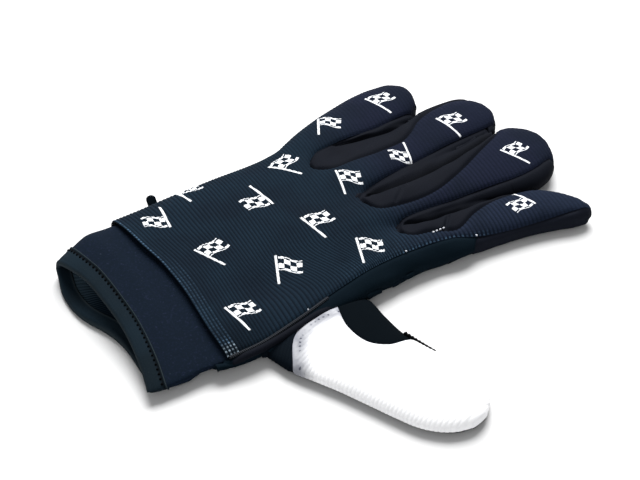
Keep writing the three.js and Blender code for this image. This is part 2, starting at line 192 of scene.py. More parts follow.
# x, near, far, height over the near side, over the far side, base
HAND_ROWS = [
    (-86, -45.5, 50.5, 10.5, 19.5, 0),
    (-74, -46.5, 52.8, 11, 19.2, 0),
    (-60, -47.8, 54.8, 11.5, 18.6, 0),
    (-45, -46.5, 56.6, 12, 18.2, 0),
    (-30, -43.5, 58, 12.5, 18, 0),
    (-15, -40.5, 59, 13, 18, 0),
    (0, -37.8, 60.6, 13.2, 18.2, 0),
    (12, -35.8, 62.6, 13.4, 17.8, 0),
    (22, -34.4, 62, 13.2, 16.4, 0),
    (31, -33.2, 59, 11.6, 13.8, 0),
    (39, -31, 56, 8.5, 10, 0),
    (45, -27, 51, 5.5, 6, 0),
]
FINGER_ROWS = {
    "index": [
        (2, -35.6, -13.2, 9.5, 12, 0),
        (13, -35, -12.4, 11.6, 13.4, 0),
        (25, -33.8, -11.6, 12.6, 14.4, 0),
        (37, -33, -11, 12.6, 14.6, 0),
        (50, -32.6, -10.6, 12.2, 14.2, 0.2),
        (64, -32.4, -10.2, 12.2, 13.8, 0.6),
        (78, -33, -10.2, 12.2, 13.6, 1),
        (90, -34.2, -11, 12.2, 13.4, 1.2),
        (100, -36, -13.4, 12, 12.8, 1.4),
        (108, -37.8, -18.6, 11.4, 12, 1.6),
        (113.4, -38.2, -25.2, 10.6, 11, 2),
        (116.4, -36.8, -30.4, 9, 9.2, 3.2),
    ],
    "middle": [
        (2, -12.2, 11.6, 12, 12.5, 0),
        (13, -11.4, 12, 14.4, 14.8, 0),
        (25, -10.6, 13.8, 15.6, 16, 0),
        (37, -10, 15.8, 16, 16.2, 0),
        (50, -9.6, 17.8, 15.4, 15.8, 0),
        (64, -9.2, 20.6, 15, 15.2, 0),
        (78, -9.2, 23.9, 14.7, 15.2, 0),
        (91, -9.8, 27.7, 14.5, 15.6, 0),
        (103, -9.8, 30.7, 14.2, 15.4, 0.3),
        (112, -7.4, 30.7, 13.4, 14.8, 0.8),
        (119, -2.2, 27.9, 12.2, 13.4, 1.6),
        (123.2, 4.6, 22.5, 10.6, 11.8, 2.6),
        (124.6, 9.4, 17.5, 9, 10, 3.6),
    ],
    "ring": [
        (2, 12.8, 42.4, 13, 13, 0),
        (13, 13.2, 43, 15.2, 15.2, 0),
        (25, 15, 44.6, 16.4, 16.4, 0),
        (37, 17, 46, 16.6, 16.2, 0),
        (50, 19, 48.4, 16, 15.6, 0),
        (64, 21.8, 52, 15.4, 15, 0),
        (78, 24.6, 56.3, 15.3, 15.2, 0),
        (90.1, 27, 59.3, 14.8, 14.9, 0),
        (100.3, 29.4, 60.3, 14, 14.3, 0.3),
        (108, 32.4, 58.3, 12.8, 13.3, 0.8),
        (112.6, 36.8, 53.7, 11.4, 11.9, 1.6),
        (114.4, 41, 49.1, 9.6, 10.1, 3),
    ],
    "little": [
        (2, 43.5, 57.5, 13, 13, 0),
        (13, 44.2, 64.3, 15, 14.8, 0),
        (25, 45.8, 70.5, 16.1, 15.8, 0),
        (37, 47.2, 76.1, 16.3, 16.1, 0),
        (50, 49.4, 80.9, 15.7, 15.5, 0),
        (62, 52, 84.5, 15.1, 14.9, 0),
        (71.3, 54.4, 86.3, 14.5, 14.3, 0),
        (78.6, 57.6, 86.5, 13.7, 13.7, 0.3),
        (84.2, 62.4, 84.1, 12.5, 12.7, 0.8),
        (87.2, 67.6, 80.5, 10.9, 11.3, 1.6),
        (88.2, 71.4, 76.9, 9.3, 9.7, 3),
    ],
}
# The thumb lies out from the hand on its own line, in its own x and y.
THUMB_ROOT = (-20.0, -40.0)
THUMB_TURN = math.radians(-70.1)
THUMB_ROWS = [
    (-16, -24, 20, 8.5, 8.5, 0),
    (-4, -30.4, 24.4, 9, 9.2, 0),
    (8, -30.4, 22.2, 10, 10, 0),
    (19, -28, 18.8, 10.4, 10.4, 0),
    (32, -25.2, 16.2, 10.6, 10.6, 0),
    (46, -23, 16.6, 10.6, 10.6, 0),
    (58, -21.2, 17.6, 10.6, 10.6, 0),
    (67, -19.4, 17.8, 10.2, 10.2, 0),
    (74.5, -16, 14.8, 9.6, 9.6, 0.3),
    (80.4, -10.8, 9.6, 8.6, 8.6, 1),
    (83.4, -5.6, 4.4, 7.2, 7.2, 2.4),
]
# along from the mouth, near, far, two heights, base, squareness
CUFF_ROWS = [
    (0, -45.6, 42.8, 8.6, 18.8, 0, 2.2),
    (0.19, -46, 46.4, 8.8, 19.0, 0, 2.5),
    (0.42, -45.8, 49.8, 8.8, 19.2, 0, 3),
    (0.62, -44.8, 50.4, 8.8, 17.2, 2, 3),
    (1, -45, 51.6, 9, 16.6, 2.2, 3),
]
# The rim of the cuff's open mouth, on the back and on the palm: y, x.
MOUTH_ABOVE = [
    (-46, -100.5), (-31, -97.7), (-12, -96.4), (8, -98), (21, -99.8), (28, -101.7), (38, -104),
    (50, -104.8),
]
MOUTH_BELOW = [
    (-46, -97.8), (-33, -96.7), (-18, -96.7), (-9, -97.9), (-1, -100.4), (8, -104.6), (17, -107.1),
    (28, -107.4), (39, -105.5), (50, -104.8),
]
# The soft swelling inside the lower lip: its middle along y, its length and its height.
LIP_SWELLING = (-4.0, 17.0, 2.6)
# Shallow dents of the back: x, y, how deep, how long each way, turned by degrees
DENTS = [
    (-22, -14, 2.2, 34, 13, 28),
    (6, 22, 0.9, 20, 14, -10),
    (-52, 18, 0.8, 16, 24, 0),
    (-44, -32, -1.1, 20, 9, 12),
]
# The hem, and the knit's edge on the thumb's side.
HEM = [
    (-66.5, -45.1), (-67.4, -30), (-67.2, -8), (-68.6, 10), (-72.6, 28), (-75, 46), (-76, 62),
]
NEAR_EDGE = [
    (-66.5, -45.1), (-50, -43.8), (-30, -39), (-10, -33), (11, -28.2), (30, -27), (49.5, -27.2),
    (62, -30.4), (85, -32.8), (111, -35.4),
]
# Each gap between fingers: the seam round its crotch and the points that carry it on at
# both ends, where the rows are divided at the hem, how high its web stands, how far the
# slit lies from the middle, sharp creases (start, end, depth), how far past the crotch the
# slit opens, its groove's depth, which also sets the groove's painted shade, its two
# fingers, and where its strip ends beside each.
GAPS = {
    "middle_index": {
        "before": [(121, -20), (112, -17.6)],
        "edge": [
            (100, -13.6), (81, -14.6), (67, -18.5), (55, -24.2), (45, -21.4), (35.6, -19.6),
            (31.8, -14), (35.2, -8.2), (45, -6.6), (75, -5.8), (103, -4.6), (119, 0.6),
        ],
        "after": [(124, -8)],
        "hem_y": -18.0,
        "web": [
            (31, 13), (32, 12.6), (36, 12.2), (44, 12), (55, 11.2), (70, 10), (84, 7),
            (91, 3.5), (97, 0),
        ],
        "slit": [
            (30, 0.5), (38, 0.6), (43, -1.0), (48, -2.0), (55, -1.4), (62, -1.4), (66, -2.0),
            (90, -1.4),
        ],
        "creases": [((49.5, -22.0), (55.5, -15.0), 0.9)],
        "slit_from": 2.0,
        "groove": 1.0,
        "fingers": ("index", "middle"),
        "ends": (110.0, 120.5),
    },
    "ring_middle": {
        "before": [(118, 36.5), (112, 34.6)],
        "edge": [
            (108.6, 31), (104.4, 24), (91, 15.8), (71, 5.2), (57, 0), (42, -1.2), (30, 0.6),
            (26, 8), (29, 15), (42, 20.2), (75, 27.3), (101, 32.2), (109, 34.6),
        ],
        "after": [(117, 36), (124, 38)],
        "hem_y": 9.0,
        "web": [
            (25, 14.5), (26, 14), (29, 13.2), (34, 12.8), (45, 12.4), (60, 12), (75, 11), (90, 8),
            (101, 3.5), (107, 0),
        ],
        "slit": [
            (25, 0), (30, -0.5), (37, -2.6), (45, -4.2), (60, -5), (75, -5.4), (90, -5),
            (104, -3), (112, 0),
        ],
        "creases": [((38.0, 1.0), (46.0, 8.0), 0.5)],
        "slit_from": 1.0,
        "groove": 3.4,
        "fingers": ("middle", "ring"),
        "ends": (120.0, 112.0),
    },
    "little_ring": {
        "before": [(124, 54), (100, 57)],
        "edge": [
            (97, 56.8), (86, 53.6), (77, 48.6), (70, 42.4), (62, 37.8), (48, 35.6), (36, 35.2),
            (24, 34.6), (17, 40.6), (23, 48.6), (36, 51.8), (48, 53.6), (59, 55), (81, 60),
        ],
        "after": [(84, 63), (94, 66)],
        "hem_y": 36.0,
        "web": [
            (16, 15), (17, 14.5), (24, 14), (34, 13.8), (44, 13.2), (54, 12.6), (66, 11.5), (76, 8),
            (83, 3.5), (87, 0),
        ],
        "slit": [(40, 4.0), (51, 2.2), (61, 0), (73, -1.4), (84, -1.4)],
        "creases": [],
        "slit_from": 15.0,
        "groove": 0.8,
        "fingers": ("ring", "little"),
        "ends": (112.0, 86.5),
    },
}
# The seams of the thumb.
THUMB_ROOT_SEAM = [(-52, -47), (-38, -44.2), (-24, -39.2), (-12.7, -38.8), (5, -37.6)]
PALE_ROOT_EDGE = [
    (-48, -66), (-44, -59), (-38.4, -48.6), (-32.3, -43.4), (-24.7, -40.4), (-12.7, -39.4),
]
GUSSET_EDGE = [
    (-12.7, -39.4), (-15.2, -52), (-12.8, -64), (-5.6, -69.8), (2.5, -69.6), (15, -67.4),
]


def eased(low, high, x):
    """0 below low, 1 above high, and a smooth rise between them."""
    t = np.clip((np.asarray(x, float) - low) / (high - low), 0, 1)
    return t * t * (3 - 2 * t)


def bell(x, wide, middle=0):
    """1 at its middle, falling away smoothly on both sides."""
    return np.exp(-(((x - middle) / wide) ** 2))


def smooth_curve(points, steps=14):
    """A curve through the points, as the CAD's seams are, in short steps."""
    points = np.array(points, float)
    last = len(points) - 1
    found = []
    for i in range(last):
        a, b, c, d = (points[min(max(j, 0), last)] for j in (i - 1, i, i + 1, i + 2))
        for t in np.linspace(0, 1, steps, endpoint=False):
            v0, v1 = (c - a) / 2, (d - b) / 2
            found.append(
                (2 * b - 2 * c + v0 + v1) * t**3 + (3 * c - 3 * b - 2 * v0 - v1) * t**2 + v0 * t + b
            )
    found.append(points[-1])
    return np.array(found)


class Table:
    """Rows of sizes along a line, read smoothly and without overshoot between them."""

    def __init__(self, rows):
        rows = np.array(rows, float)
        self.x, self.values = rows[:, 0], rows[:, 1:]
        step = np.diff(self.x)[:, None]
        rise = np.diff(self.values, axis=0) / step
        slopes = np.vstack([rise[:1], np.zeros_like(rise[1:]), rise[-1:]])
        left, right = rise[:-1], rise[1:]
        same = left * right > 0
        weight_left = 2 * step[1:] + step[:-1]
        weight_right = step[1:] + 2 * step[:-1]
        blend = weight_left / np.where(same, left, 1) + weight_right / np.where(same, right, 1)
        slopes[1:-1] = np.where(same, (weight_left + weight_right) / blend, 0)
        self.slopes = slopes

    def at(self, x):
        """Each size at x, which may be an array; the last axis is the sizes."""
        x = np.clip(x, self.x[0], self.x[-1])
        i = np.clip(np.searchsorted(self.x, x, side="right") - 1, 0, len(self.x) - 2)
        width = self.x[i + 1] - self.x[i]
        t = ((x - self.x[i]) / width)[..., None]
        width = width[..., None]
        a, b = self.values[i], self.values[i + 1]
        at_a, at_b = self.slopes[i] * width, self.slopes[i + 1] * width
        return (
            (2 * t**3 - 3 * t**2 + 1) * a + (t**3 - 2 * t**2 + t) * at_a
            + (3 * t**2 - 2 * t**3) * b + (t**3 - t**2) * at_b
        )


class Limb:
    """A hand, finger or thumb: flattened oval sections along a line."""

    def __init__(self, rows, boxy):
        self.table = Table(rows)
        self.boxy = boxy
        self.start, self.end = rows[0][0], rows[-1][0]

    def _section(self, x, y):
        """The heights of its widest line, crest and base, how far up between them a place
        lies, and how far it falls away outside the outline."""
        near, far, high_near, high_far, base = np.moveaxis(self.table.at(x), -1, 0)
        middle = base + WIDEST * ((high_near + high_far) / 2 - base)
        across = (2 * y - near - far) / (far - near)
        up = (1 - np.clip(np.abs(across), 0, 1) ** self.boxy) ** (1 / self.boxy)
        high = high_near + (high_far - high_near) * (np.clip(across, -1, 1) + 1) / 2
        past = np.maximum(np.abs(across) - 1, 0) * (far - near) / 2 * SIDE_STEEP
        past = past + np.maximum(x - self.end, 0) * END_STEEP
        past = past + np.maximum(self.start - x, 0) * START_STEEP
        return middle, high, base, up, past

    def top(self, x, y):
        """The height of the upper side, falling away steeply outside the outline."""
        middle, high, _, up, past = self._section(x, y)
        return middle + (high - middle) * up - past

    def under(self, x, y):
        """The height of the lower side, pressed flat where it rests."""
        middle, _, base, up, past = self._section(x, y)
        return np.maximum(base, middle - (middle - base + PRESSED) * up) + past

    def near(self, x):
        """The y of its outline on the thumb's side."""
        return self.table.at(x)[..., 0]

    def far(self, x):
        """The y of its outline on the little finger's side."""
        return self.table.at(x)[..., 1]


HAND = Limb(HAND_ROWS, BOXY["hand"])
FINGERS = {name: Limb(rows, BOXY["finger"]) for name, rows in FINGER_ROWS.items()}
THUMB = Limb(THUMB_ROWS, BOXY["thumb"])
HEM_LINE = Table([(y, x) for x, y in HEM])


def far_outline(x, little_from):
    """The y of the outline on the far side, to which the little finger adds."""
    return np.maximum(HAND.far(x), np.where(x > little_from, FINGERS["little"].far(x), 0))


def dent_depth(x, y):
    """How far the shallow dents of the back lower a place."""
    drop = np.zeros_like(x)
    for at_x, at_y, deep, long, wide, turn in DENTS:
        angle = math.radians(turn)
        dx, dy = x - at_x, y - at_y
        along = dx * math.cos(angle) + dy * math.sin(angle)
        over = dy * math.cos(angle) - dx * math.sin(angle)
        drop = drop + deep * np.exp(-((along / long) ** 2) - (over / wide) ** 2)
    return drop


def crumple(x, y):
    """The slight unevenness of cloth that lies empty."""
    sway = 1.3 * np.sin(y / WAVE["sway"])
    wave = WAVE["high"] * np.sin(x / WAVE["x"] + sway) * np.cos(y / WAVE["y"] + 0.6)
    return wave + RIPPLE["high"] * np.sin(x / RIPPLE["x"] - y / RIPPLE["y"] + 2.0)


def soft_top(heights):
    """The highest of several surfaces, joined in a soft valley."""
    heights = np.stack(heights)
    highest = heights.max(0)
    return SOFT_JOIN * np.log(np.exp((heights - highest) / SOFT_JOIN).sum(0)) + highest


def hand_top(x, y):
    """The upper side of the hand, with its dents."""
    bare = HAND.top(x, y)
    return bare - dent_depth(x, y) * eased(6.5, 9, bare)


def back_height(x, y):
    """The upper side of the hand and the fingers together."""
    z = soft_top([hand_top(x, y)] + [FINGERS[name].top(x, y) for name in FINGERS])
    return z + crumple(x, y) * eased(8, 11, z)


def to_thumb(x, y):
    """The layout's x and y as the thumb's own."""
    dx, dy = x - THUMB_ROOT[0], y - THUMB_ROOT[1]
    c, s = math.cos(THUMB_TURN), math.sin(THUMB_TURN)
    return dx * c + dy * s, dy * c - dx * s


def from_thumb(x, y):
    """The thumb's own x and y as the layout's."""
    c, s = math.cos(THUMB_TURN), math.sin(THUMB_TURN)
    return THUMB_ROOT[0] + x * c - y * s, THUMB_ROOT[1] + x * s + y * c


def row_x(u, y):
    """The x at y of the rib with place u: along the hem first, then straight, with a bend
    in the hollow of the hand."""
    by_hem = (HEM_LINE.at(y)[..., 0] - HEM_U) * (1 - eased(*HEM_FOLLOWED, u))
    bend = BEND * (1 - eased(*BEND_ACROSS, y))
    bend = bend * eased(*BEND_BEGINS, u) * (1 - eased(*BEND_ENDS, u))
    return u + by_hem + bend


def rib_count(x, y):
    """The u of the rib that runs over a place."""
    u = np.array(x, float)
    for _ in range(40):
        u = x - (row_x(u, y) - u)
    return u


class Edge:
    """A seam or a dividing line, read as its y at each rib."""

    def __init__(self, points):
        points = np.array(points, float)
        ribs = rib_count(points[:, 0], points[:, 1])
        self.u = np.maximum.accumulate(ribs + 1e-6 * np.arange(len(points)))
        self.y = points[:, 1]

    def at(self, u):
        """The y of the line on a rib."""
        return np.interp(u, self.u, self.y)


def gap_edges(gap):
    """The dividing line from the hem to the crotch, then each branch of the seam."""
    curve = smooth_curve(gap["edge"])
    crotch = int(rib_count(curve[:, 0], curve[:, 1]).argmin())
    t = np.linspace(0, 1, 30)
    start = np.array([HEM_LINE.at(gap["hem_y"])[0] - 3, gap["hem_y"]])
    line = start + (curve[crotch] - start) * np.column_stack([t, eased(0, 1, t)])
    near_branch = np.vstack([curve[:crotch][::-1], gap["before"][::-1]])
    far_branch = np.vstack([curve[crotch + 1:], gap["after"]])
    return Edge(np.vstack([line, near_branch])), Edge(np.vstack([line, far_branch])), curve


NEAR_LINE = np.vstack([smooth_curve(NEAR_EDGE), [(121, -36.4)]])
GAP_EDGES = {name: gap_edges(gap) for name, gap in GAPS.items()}


def near_line_y(x):
    """The y of the knit's edge on the thumb's side."""
    return np.interp(x, NEAR_LINE[:, 0], NEAR_LINE[:, 1])


def along(path):
    """How far along a path each of its points is."""
    return np.concatenate([[0], np.cumsum(np.linalg.norm(np.diff(path, axis=0), axis=1))])


def resampled(path, reach, at):
    """The places of a path at new distances along it."""
    return np.column_stack([np.interp(at, reach, path[:, k]) for k in range(path.shape[1])])


def finely(points, step=0.4):
    """The same line with a point at least every step."""
    reach = along(points)
    return resampled(points, reach, np.linspace(0, reach[-1], max(2, int(reach[-1] / step))))


def fine_seams(lines):
    """Many points on all of these seams, for measuring distances from them."""
    return np.vstack([finely(line) for line in lines]).astype(np.float32)


WHOLE_GAPS = [np.vstack([GAPS[n]["before"], GAP_EDGES[n][2], GAPS[n]["after"]]) for n in GAPS]
FINE_SEAMS = fine_seams([NEAR_LINE, *WHOLE_GAPS])
THUMB_LINES = (THUMB_ROOT_SEAM, PALE_ROOT_EDGE, GUSSET_EDGE)
THUMB_SEAMS = fine_seams([smooth_curve(points) for points in THUMB_LINES])


def seam_distance(points, seams=FINE_SEAMS):
    """How far each place is from the nearest seam, seen from above."""
    flat = points.reshape(-1, points.shape[-1])[:, :2].astype(np.float32)
    nearest = np.empty(len(flat), np.float32)
    for i in range(0, len(flat), AT_ONCE):
        part = flat[i:i + AT_ONCE, None, :] - seams[None, :, :]
        nearest[i:i + AT_ONCE] = np.sqrt((part**2).sum(-1).min(1))
    return nearest.reshape(points.shape[:-1])


def seam_reach(points, line, step=0.4):
    """How far from one seam each place is, and how far along it, in a layer's three numbers."""
    flat = points.reshape(-1, 3)[:, :2]
    away, reach = np.empty(len(flat)), np.empty(len(flat))
    for i in range(0, len(flat), AT_ONCE):
        part = np.linalg.norm(flat[i:i + AT_ONCE, None, :] - line[None, :, :2], axis=-1)
        away[i:i + AT_ONCE] = part.min(1)
        reach[i:i + AT_ONCE] = part.argmin(1) * step
    return np.stack([away, reach, np.ones(len(flat))], -1).reshape(points.shape)


def seam_pinch(points, deep=0.6, wide=0.9, seams=FINE_SEAMS):
    """How far a seam draws the cloth in beside it, but not at the index finger's tip."""
    tip = eased(106, 112, points[..., 0]) * (points[..., 1] < -22)
    return -deep * bell(seam_distance(points, seams), wide) * (1 - tip)


def thumb_pinch(points):
    """How far the thumb's own seams draw the cloth in beside them."""
    return seam_pinch(points, 0.5, seams=THUMB_SEAMS)


def spacing(length, inner):
    """Distances along a row, close together at both ends and even between."""
    steps = EDGE_STEPS * min(1.0, length / 16)
    middle = np.linspace(steps[-1], length - steps[-1], inner + 2)[1:-1]
    return np.concatenate([steps, middle, length - steps[::-1]])


def cut_at(path, low):
    """A path without its ends below a height."""
    top = int(path[:, 2].argmax())
    under = np.flatnonzero(path[:, 2] < low)
    before, after = under[under < top], under[under > top]
    first, last = 0, len(path) - 1
    path = path.copy()

    def cut(below, above):
        """Moves the last point below the height up to it."""
        a, b = path[below], path[above]
        path[below] = a + (b - a) * (low - a[2]) / max(b[2] - a[2], 1e-9)

    if len(before):
        first = before[-1]
        cut(first, first + 1)
    if len(after):
        last = after[0]
        cut(last, last - 1)
    return path[first:last + 1]


def draped(x, y, z, low, inner):
    """Rows of samples laid on a height: cut off below low, then spaced over their length.
    Gives the places and how far along its row each is."""
    low = np.broadcast_to(low, len(x))
    rows, reach = [], []
    for i in range(len(x)):
        path = cut_at(np.column_stack([x[i], y[i], z[i]]), low[i])
        distance = along(path)
        at = spacing(distance[-1], inner)
        rows.append(resampled(path, distance, at))
        reach.append(at)
    return np.array(rows), np.array(reach)


def draped_below(x, y, z, high, inner):
    """The same for an underside, which is cut off above high. Gives the places."""
    points, _ = draped(x, y, -z, -high, inner)
    points[..., 2] *= -1
    return points


def filled(values, grid):
    """The value of each row, given to all of the row's places in a grid."""
    return np.broadcast_to(values[:, None], grid.shape)


def between(start, end):
    """Samples from start to end of each row, closer at both ends."""
    t = (1 - np.cos(np.linspace(0, math.pi, SAMPLES))) / 2
    return start[:, None] + (end - start)[:, None] * t


def underside(limb, x, limit, inner):
    """Rows of a limb's lower side, from its outline on one side to the other."""
    y = between(limb.near(x) - PAST_OUTLINE, limb.far(x) + PAST_OUTLINE)
    full_x = filled(x, y)
    return draped_below(full_x, y, limb.under(full_x, y), limit, inner)


def closed_end(points, limb, bulge=0.9, low=TIP_LOW):
    """Rows of a limb with its blunt end rounded off to one point."""
    middle = (limb.near(limb.end) + limb.far(limb.end)) / 2
    centre = np.array([limb.end, middle, low])
    cap = []
    for turn in np.linspace(0, math.pi / 2, 6)[1:]:
        forward = np.array([bulge * math.sin(turn), 0, 0])
        cap.append(centre + (points[-1] - centre) * math.cos(turn) + forward)
    return np.vstack([points, cap])


def more_rows(values, count=5):
    """Repeats the last row of values for the rows that close an end."""
    return np.concatenate([values, np.repeat(values[-1:], count, axis=0)])


class Sheet:
    """Cloth in the making: grids laid side by side, merged, embossed and given a wall."""

    def __init__(self):
        self.bm = bmesh.new()
        kinds = self.bm.verts.layers
        self.layers = {
            name: (kinds.float if held == 1 else kinds.float_vector).new(name)
            for name, held in LAYERS.items()
        }

    def lay(self, points, under=False, **facts):
        """Adds a grid of places, with what each holds in the named layers. Its outer side
        is up where its columns run towards +Y, or down for an underside."""
        rows, columns = points.shape[:2]
        made = bmesh.ops.create_grid(self.bm, x_segments=columns - 1, y_segments=rows - 1, size=1)
        verts = made["verts"]
        places = ((points + TO_ROW) * MM).reshape(-1, 3).tolist()
        for vert, place in zip(verts, places):
            vert.co = place
        for name, values in facts.items():
            layer = self.layers[name]
            each = () if LAYERS[name] == 1 else (LAYERS[name],)
            flat = np.broadcast_to(values, (rows, columns) + each).reshape((-1,) + each)
            for vert, value in zip(verts, flat.tolist()):
                vert[layer] = value
        if not under:
            faces = {face for vert in verts for face in vert.link_faces}
            bmesh.ops.reverse_faces(self.bm, faces=list(faces))

    def finish(self, name, slot, material, nodes=(), wall=0.0):
        """The finished piece: merged, embossed along its normals and given its wall."""
        bmesh.ops.remove_doubles(self.bm, verts=self.bm.verts, dist=SAME_PLACE)
        bmesh.ops.dissolve_degenerate(self.bm, edges=self.bm.edges, dist=NO_EDGE)
        mesh = bpy.data.meshes.new(name)
        self.bm.to_mesh(mesh)
        self.bm.free()
        count = len(mesh.vertices)
        places, normals, rise = np.empty(count * 3), np.empty(count * 3), np.empty(count)
        mesh.vertices.foreach_get("co", places)
        mesh.vertices.foreach_get("normal", normals)
        mesh.attributes["rise"].data.foreach_get("value", rise)
        places = places.reshape(-1, 3) + normals.reshape(-1, 3) * rise[:, None] * MM
        mesh.vertices.foreach_set("co", places.reshape(-1))
        mesh.attributes.remove(mesh.attributes["rise"])
        piece = finished_piece(mesh, material, nodes)
        if wall:
            cloth = piece.modifiers.new("wall", "SOLIDIFY")
            cloth.thickness = wall * MM
            cloth.offset = -1


def one_sheet(points, name, slot, material, nodes, wall=0.0, under=False, **facts):
    """A piece that is a single grid of places."""
    sheet = Sheet()
    sheet.lay(points, under, **facts)
    sheet.finish(name, slot, material, nodes, wall)


def finished_piece(mesh, material, nodes):
    """A piece of the glove, which stands for these solids of the CAD."""
    mesh.shade_smooth()
    mesh.update()
    piece = bpy.data.objects.new(mesh.name, mesh)
    bpy.context.collection.objects.link(piece)
    mesh.materials.append(material)
    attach(piece, "root")
    if nodes:
        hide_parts(*nodes)
    return piece


class Wire:
    """A number in a material. Arithmetic on it adds the Math nodes."""

    def __init__(self, board, socket):
        self.board, self.socket = board, socket

    def _with(self, operation, *values, clamp=False):
        settings = {"operation": operation, "use_clamp": clamp}
        return self.board.node("ShaderNodeMath", settings, dict(enumerate(values)))

    def __add__(self, other):
        return self._with("ADD", self, other)

    def __radd__(self, other):
        return self._with("ADD", other, self)

    def __sub__(self, other):
        return self._with("SUBTRACT", self, other)

    def __rsub__(self, other):
        return self._with("SUBTRACT", other, self)

    def __mul__(self, other):
        return self._with("MULTIPLY", self, other)

    def __rmul__(self, other):
        return self._with("MULTIPLY", other, self)

    def __truediv__(self, other):
        return self._with("DIVIDE", self, other)

    def __pow__(self, other):
        return self._with("POWER", self, other)

    def __abs__(self):
        return self._with("ABSOLUTE", self)

    def fraction(self):
        return self._with("FRACT", self)

    def floored(self):
        return self._with("FLOOR", self)

    def sine(self):
        return self._with("SINE", self)

    def wave(self):
        """Its sine, brought between 0 and 1."""
        return self.sine() * 0.5 + 0.5

    def above(self, level):
        return self._with("GREATER_THAN", self, level)

    def clamped(self):
        return self._with("ADD", self, 0.0, clamp=True)

    def most(self, other):
        return self._with("MAXIMUM", self, other)

    def rising(self, low, high):
        """0 at low, 1 at high, smooth between."""
        return self.board.node(
            "ShaderNodeMapRange",
            {"interpolation_type": "SMOOTHSTEP"},
            {"Value": self, "From Min": low, "From Max": high},
        )


class Board:
    """A material and its nodes."""

    def __init__(self, name, **constants):
        self.material = bpy.data.materials.new(name)
        self.material.use_nodes = True
        self.tree = self.material.node_tree
        self.shader = self.tree.nodes["Principled BSDF"]
        for socket, value in constants.items():
            self.shader.inputs[socket.replace("_", " ")].default_value = value

    def node(self, kind, settings=None, values=None, out=0):
        """One node: its settings first, then the values or links of its sockets."""
        node = self.tree.nodes.new(kind)
        for key, value in (settings or {}).items():
            setattr(node, key, value)
        for key, value in (values or {}).items():
            socket = node.inputs[key]
            if isinstance(value, Wire):
                self.tree.links.new(value.socket, socket)
            else:
                socket.default_value = value
        return Wire(self, node.outputs[out])

    def attribute(self, name):
        """The three numbers of a piece's own layer."""
        layer = self.node("ShaderNodeAttribute", {"attribute_name": name}, out="Vector")
        return self.parts(layer)

    def place(self):
        """The piece's own place in metres."""
        return self.node("ShaderNodeTexCoord", out="Object")

    def parts(self, vector):
        """A vector's three numbers."""
        split = self.node("ShaderNodeSeparateXYZ", values={0: vector})
        return [Wire(self, output) for output in split.socket.node.outputs]

    def noise(self, vector, scale, detail=2.0, rough=0.5):
        """Blotches or grain, from 0 to 1."""
        values = {"Vector": vector, "Scale": scale, "Detail": detail, "Roughness": rough}
        return self.node("ShaderNodeTexNoise", values=values)

    def mix(self, factor, a, b):
        """From colour a to colour b."""
        return self.node("ShaderNodeMix", {"data_type": "RGBA"}, {0: factor, 6: a, 7: b}, out=2)

    def bump(self, height, millimetres, strength):
        """A surface that stands up by so much where the height is 1."""
        values = {"Height": height, "Distance": millimetres * MM, "Strength": strength}
        return self.node("ShaderNodeBump", values=values)

    def paint(self, **links):
        """Feeds the shader's sockets and gives the finished material."""
        for socket, value in links.items():
            self.tree.links.new(value.socket, self.shader.inputs[socket.replace("_", " ")])
        return self.material


def tone(red, green, blue):
    """A colour as the eye reads it, 0 to 255, as a linear colour."""
    def linear(value):
        value /= 255
        return value / 12.92 if value <= 0.04045 else ((value + 0.055) / 1.055) ** 2.4

    return (linear(red), linear(green), linear(blue), 1.0)


def lit(red, green, blue):
    """The colour of a dark cloth that reads as this tone under the stage's light."""
    return tuple(value / STAGE_LIGHT for value in tone(red, green, blue)[:3]) + (1.0,)


def shaded(base, shade):
    """A colour, darker where the shade is less than one and lighter where it is more."""
    return [value * shade for value in base[:3]] + [1]


def colour_choice(name, description, default):
    """A colour that a maker would change."""
    return bpy.props.FloatVectorProperty(
        name=name, description=description, subtype="COLOR", size=4, min=0, max=1, default=default
    )


def length_choice(name, description, default):
    """A size in millimetres that a maker would change."""
    return bpy.props.FloatProperty(
        name=name, description=description, default=default * MM, unit="LENGTH", subtype="DISTANCE"
    )


class GloveSizes(bpy.types.PropertyGroup):
    """The sizes a maker would change."""

    rib: length_choice("Rib", "Distance between ribs on the hand", 1.6)
    finger_rib: length_choice("Finger rib", "Distance between ribs on the fingers", 1.9)
    thumb_rib: length_choice("Thumb rib", "Distance between ribs on the thumb", 1.75)
    rib_depth: length_choice("Rib depth", "Height of a rib on the hand", 0.34)
    thumb_rib_depth: length_choice("Thumb rib depth", "Height of a rib on the thumb", 0.17)
    knit_wall: length_choice("Knit wall", "Thickness of the knit", 1.3)
    cuff_wall: length_choice("Cuff wall", "Thickness of the cuff", 2.0)
    binding: length_choice("Binding", "Radius of the rolled binding", 1.25)


class GloveColours(bpy.types.PropertyGroup):
    """The colours a maker would change."""

    knit: colour_choice("Knit", "Ridges of the dark knit", lit(32, 51, 67))
    # The groove colour is painted shade between the ribs; the ribs themselves are real geometry.
    groove: colour_choice("Groove", "Between the ridges of the dark knit", lit(10, 20, 31))
    # Painted highlight on the rib crests by the hem and along the thumb's side.
    painted_highlight_colour: colour_choice("Shine", "Thin bright threads near the hem", lit(112, 150, 184))
    strip: colour_choice("Strip", "Smooth side strips", lit(28, 32, 43))
    suede: colour_choice("Suede", "Palm and gusset", lit(12, 27, 37))
    pale: colour_choice("Pale", "The thumb's knit", (0.95, 0.95, 0.96, 1))
    neoprene: colour_choice("Neoprene", "The cuff", lit(20, 33, 48))
    tape: colour_choice("Tape", "The tape over the cuff's rim", lit(32, 49, 61))
    thread: colour_choice("Thread", "Stitches of the dark seams", lit(3, 6, 9))
    print: colour_choice("Print", "The motifs on the back", (0.86, 0.88, 0.9, 1))


def glove_size(name):
    """One of the glove's sizes, in millimetres."""
    return getattr(bpy.context.scene.glove_sizes, name) / MM


def glove_colour(name):
    """One of the glove's colours."""
    return tuple(getattr(bpy.context.scene.glove_colours, name))


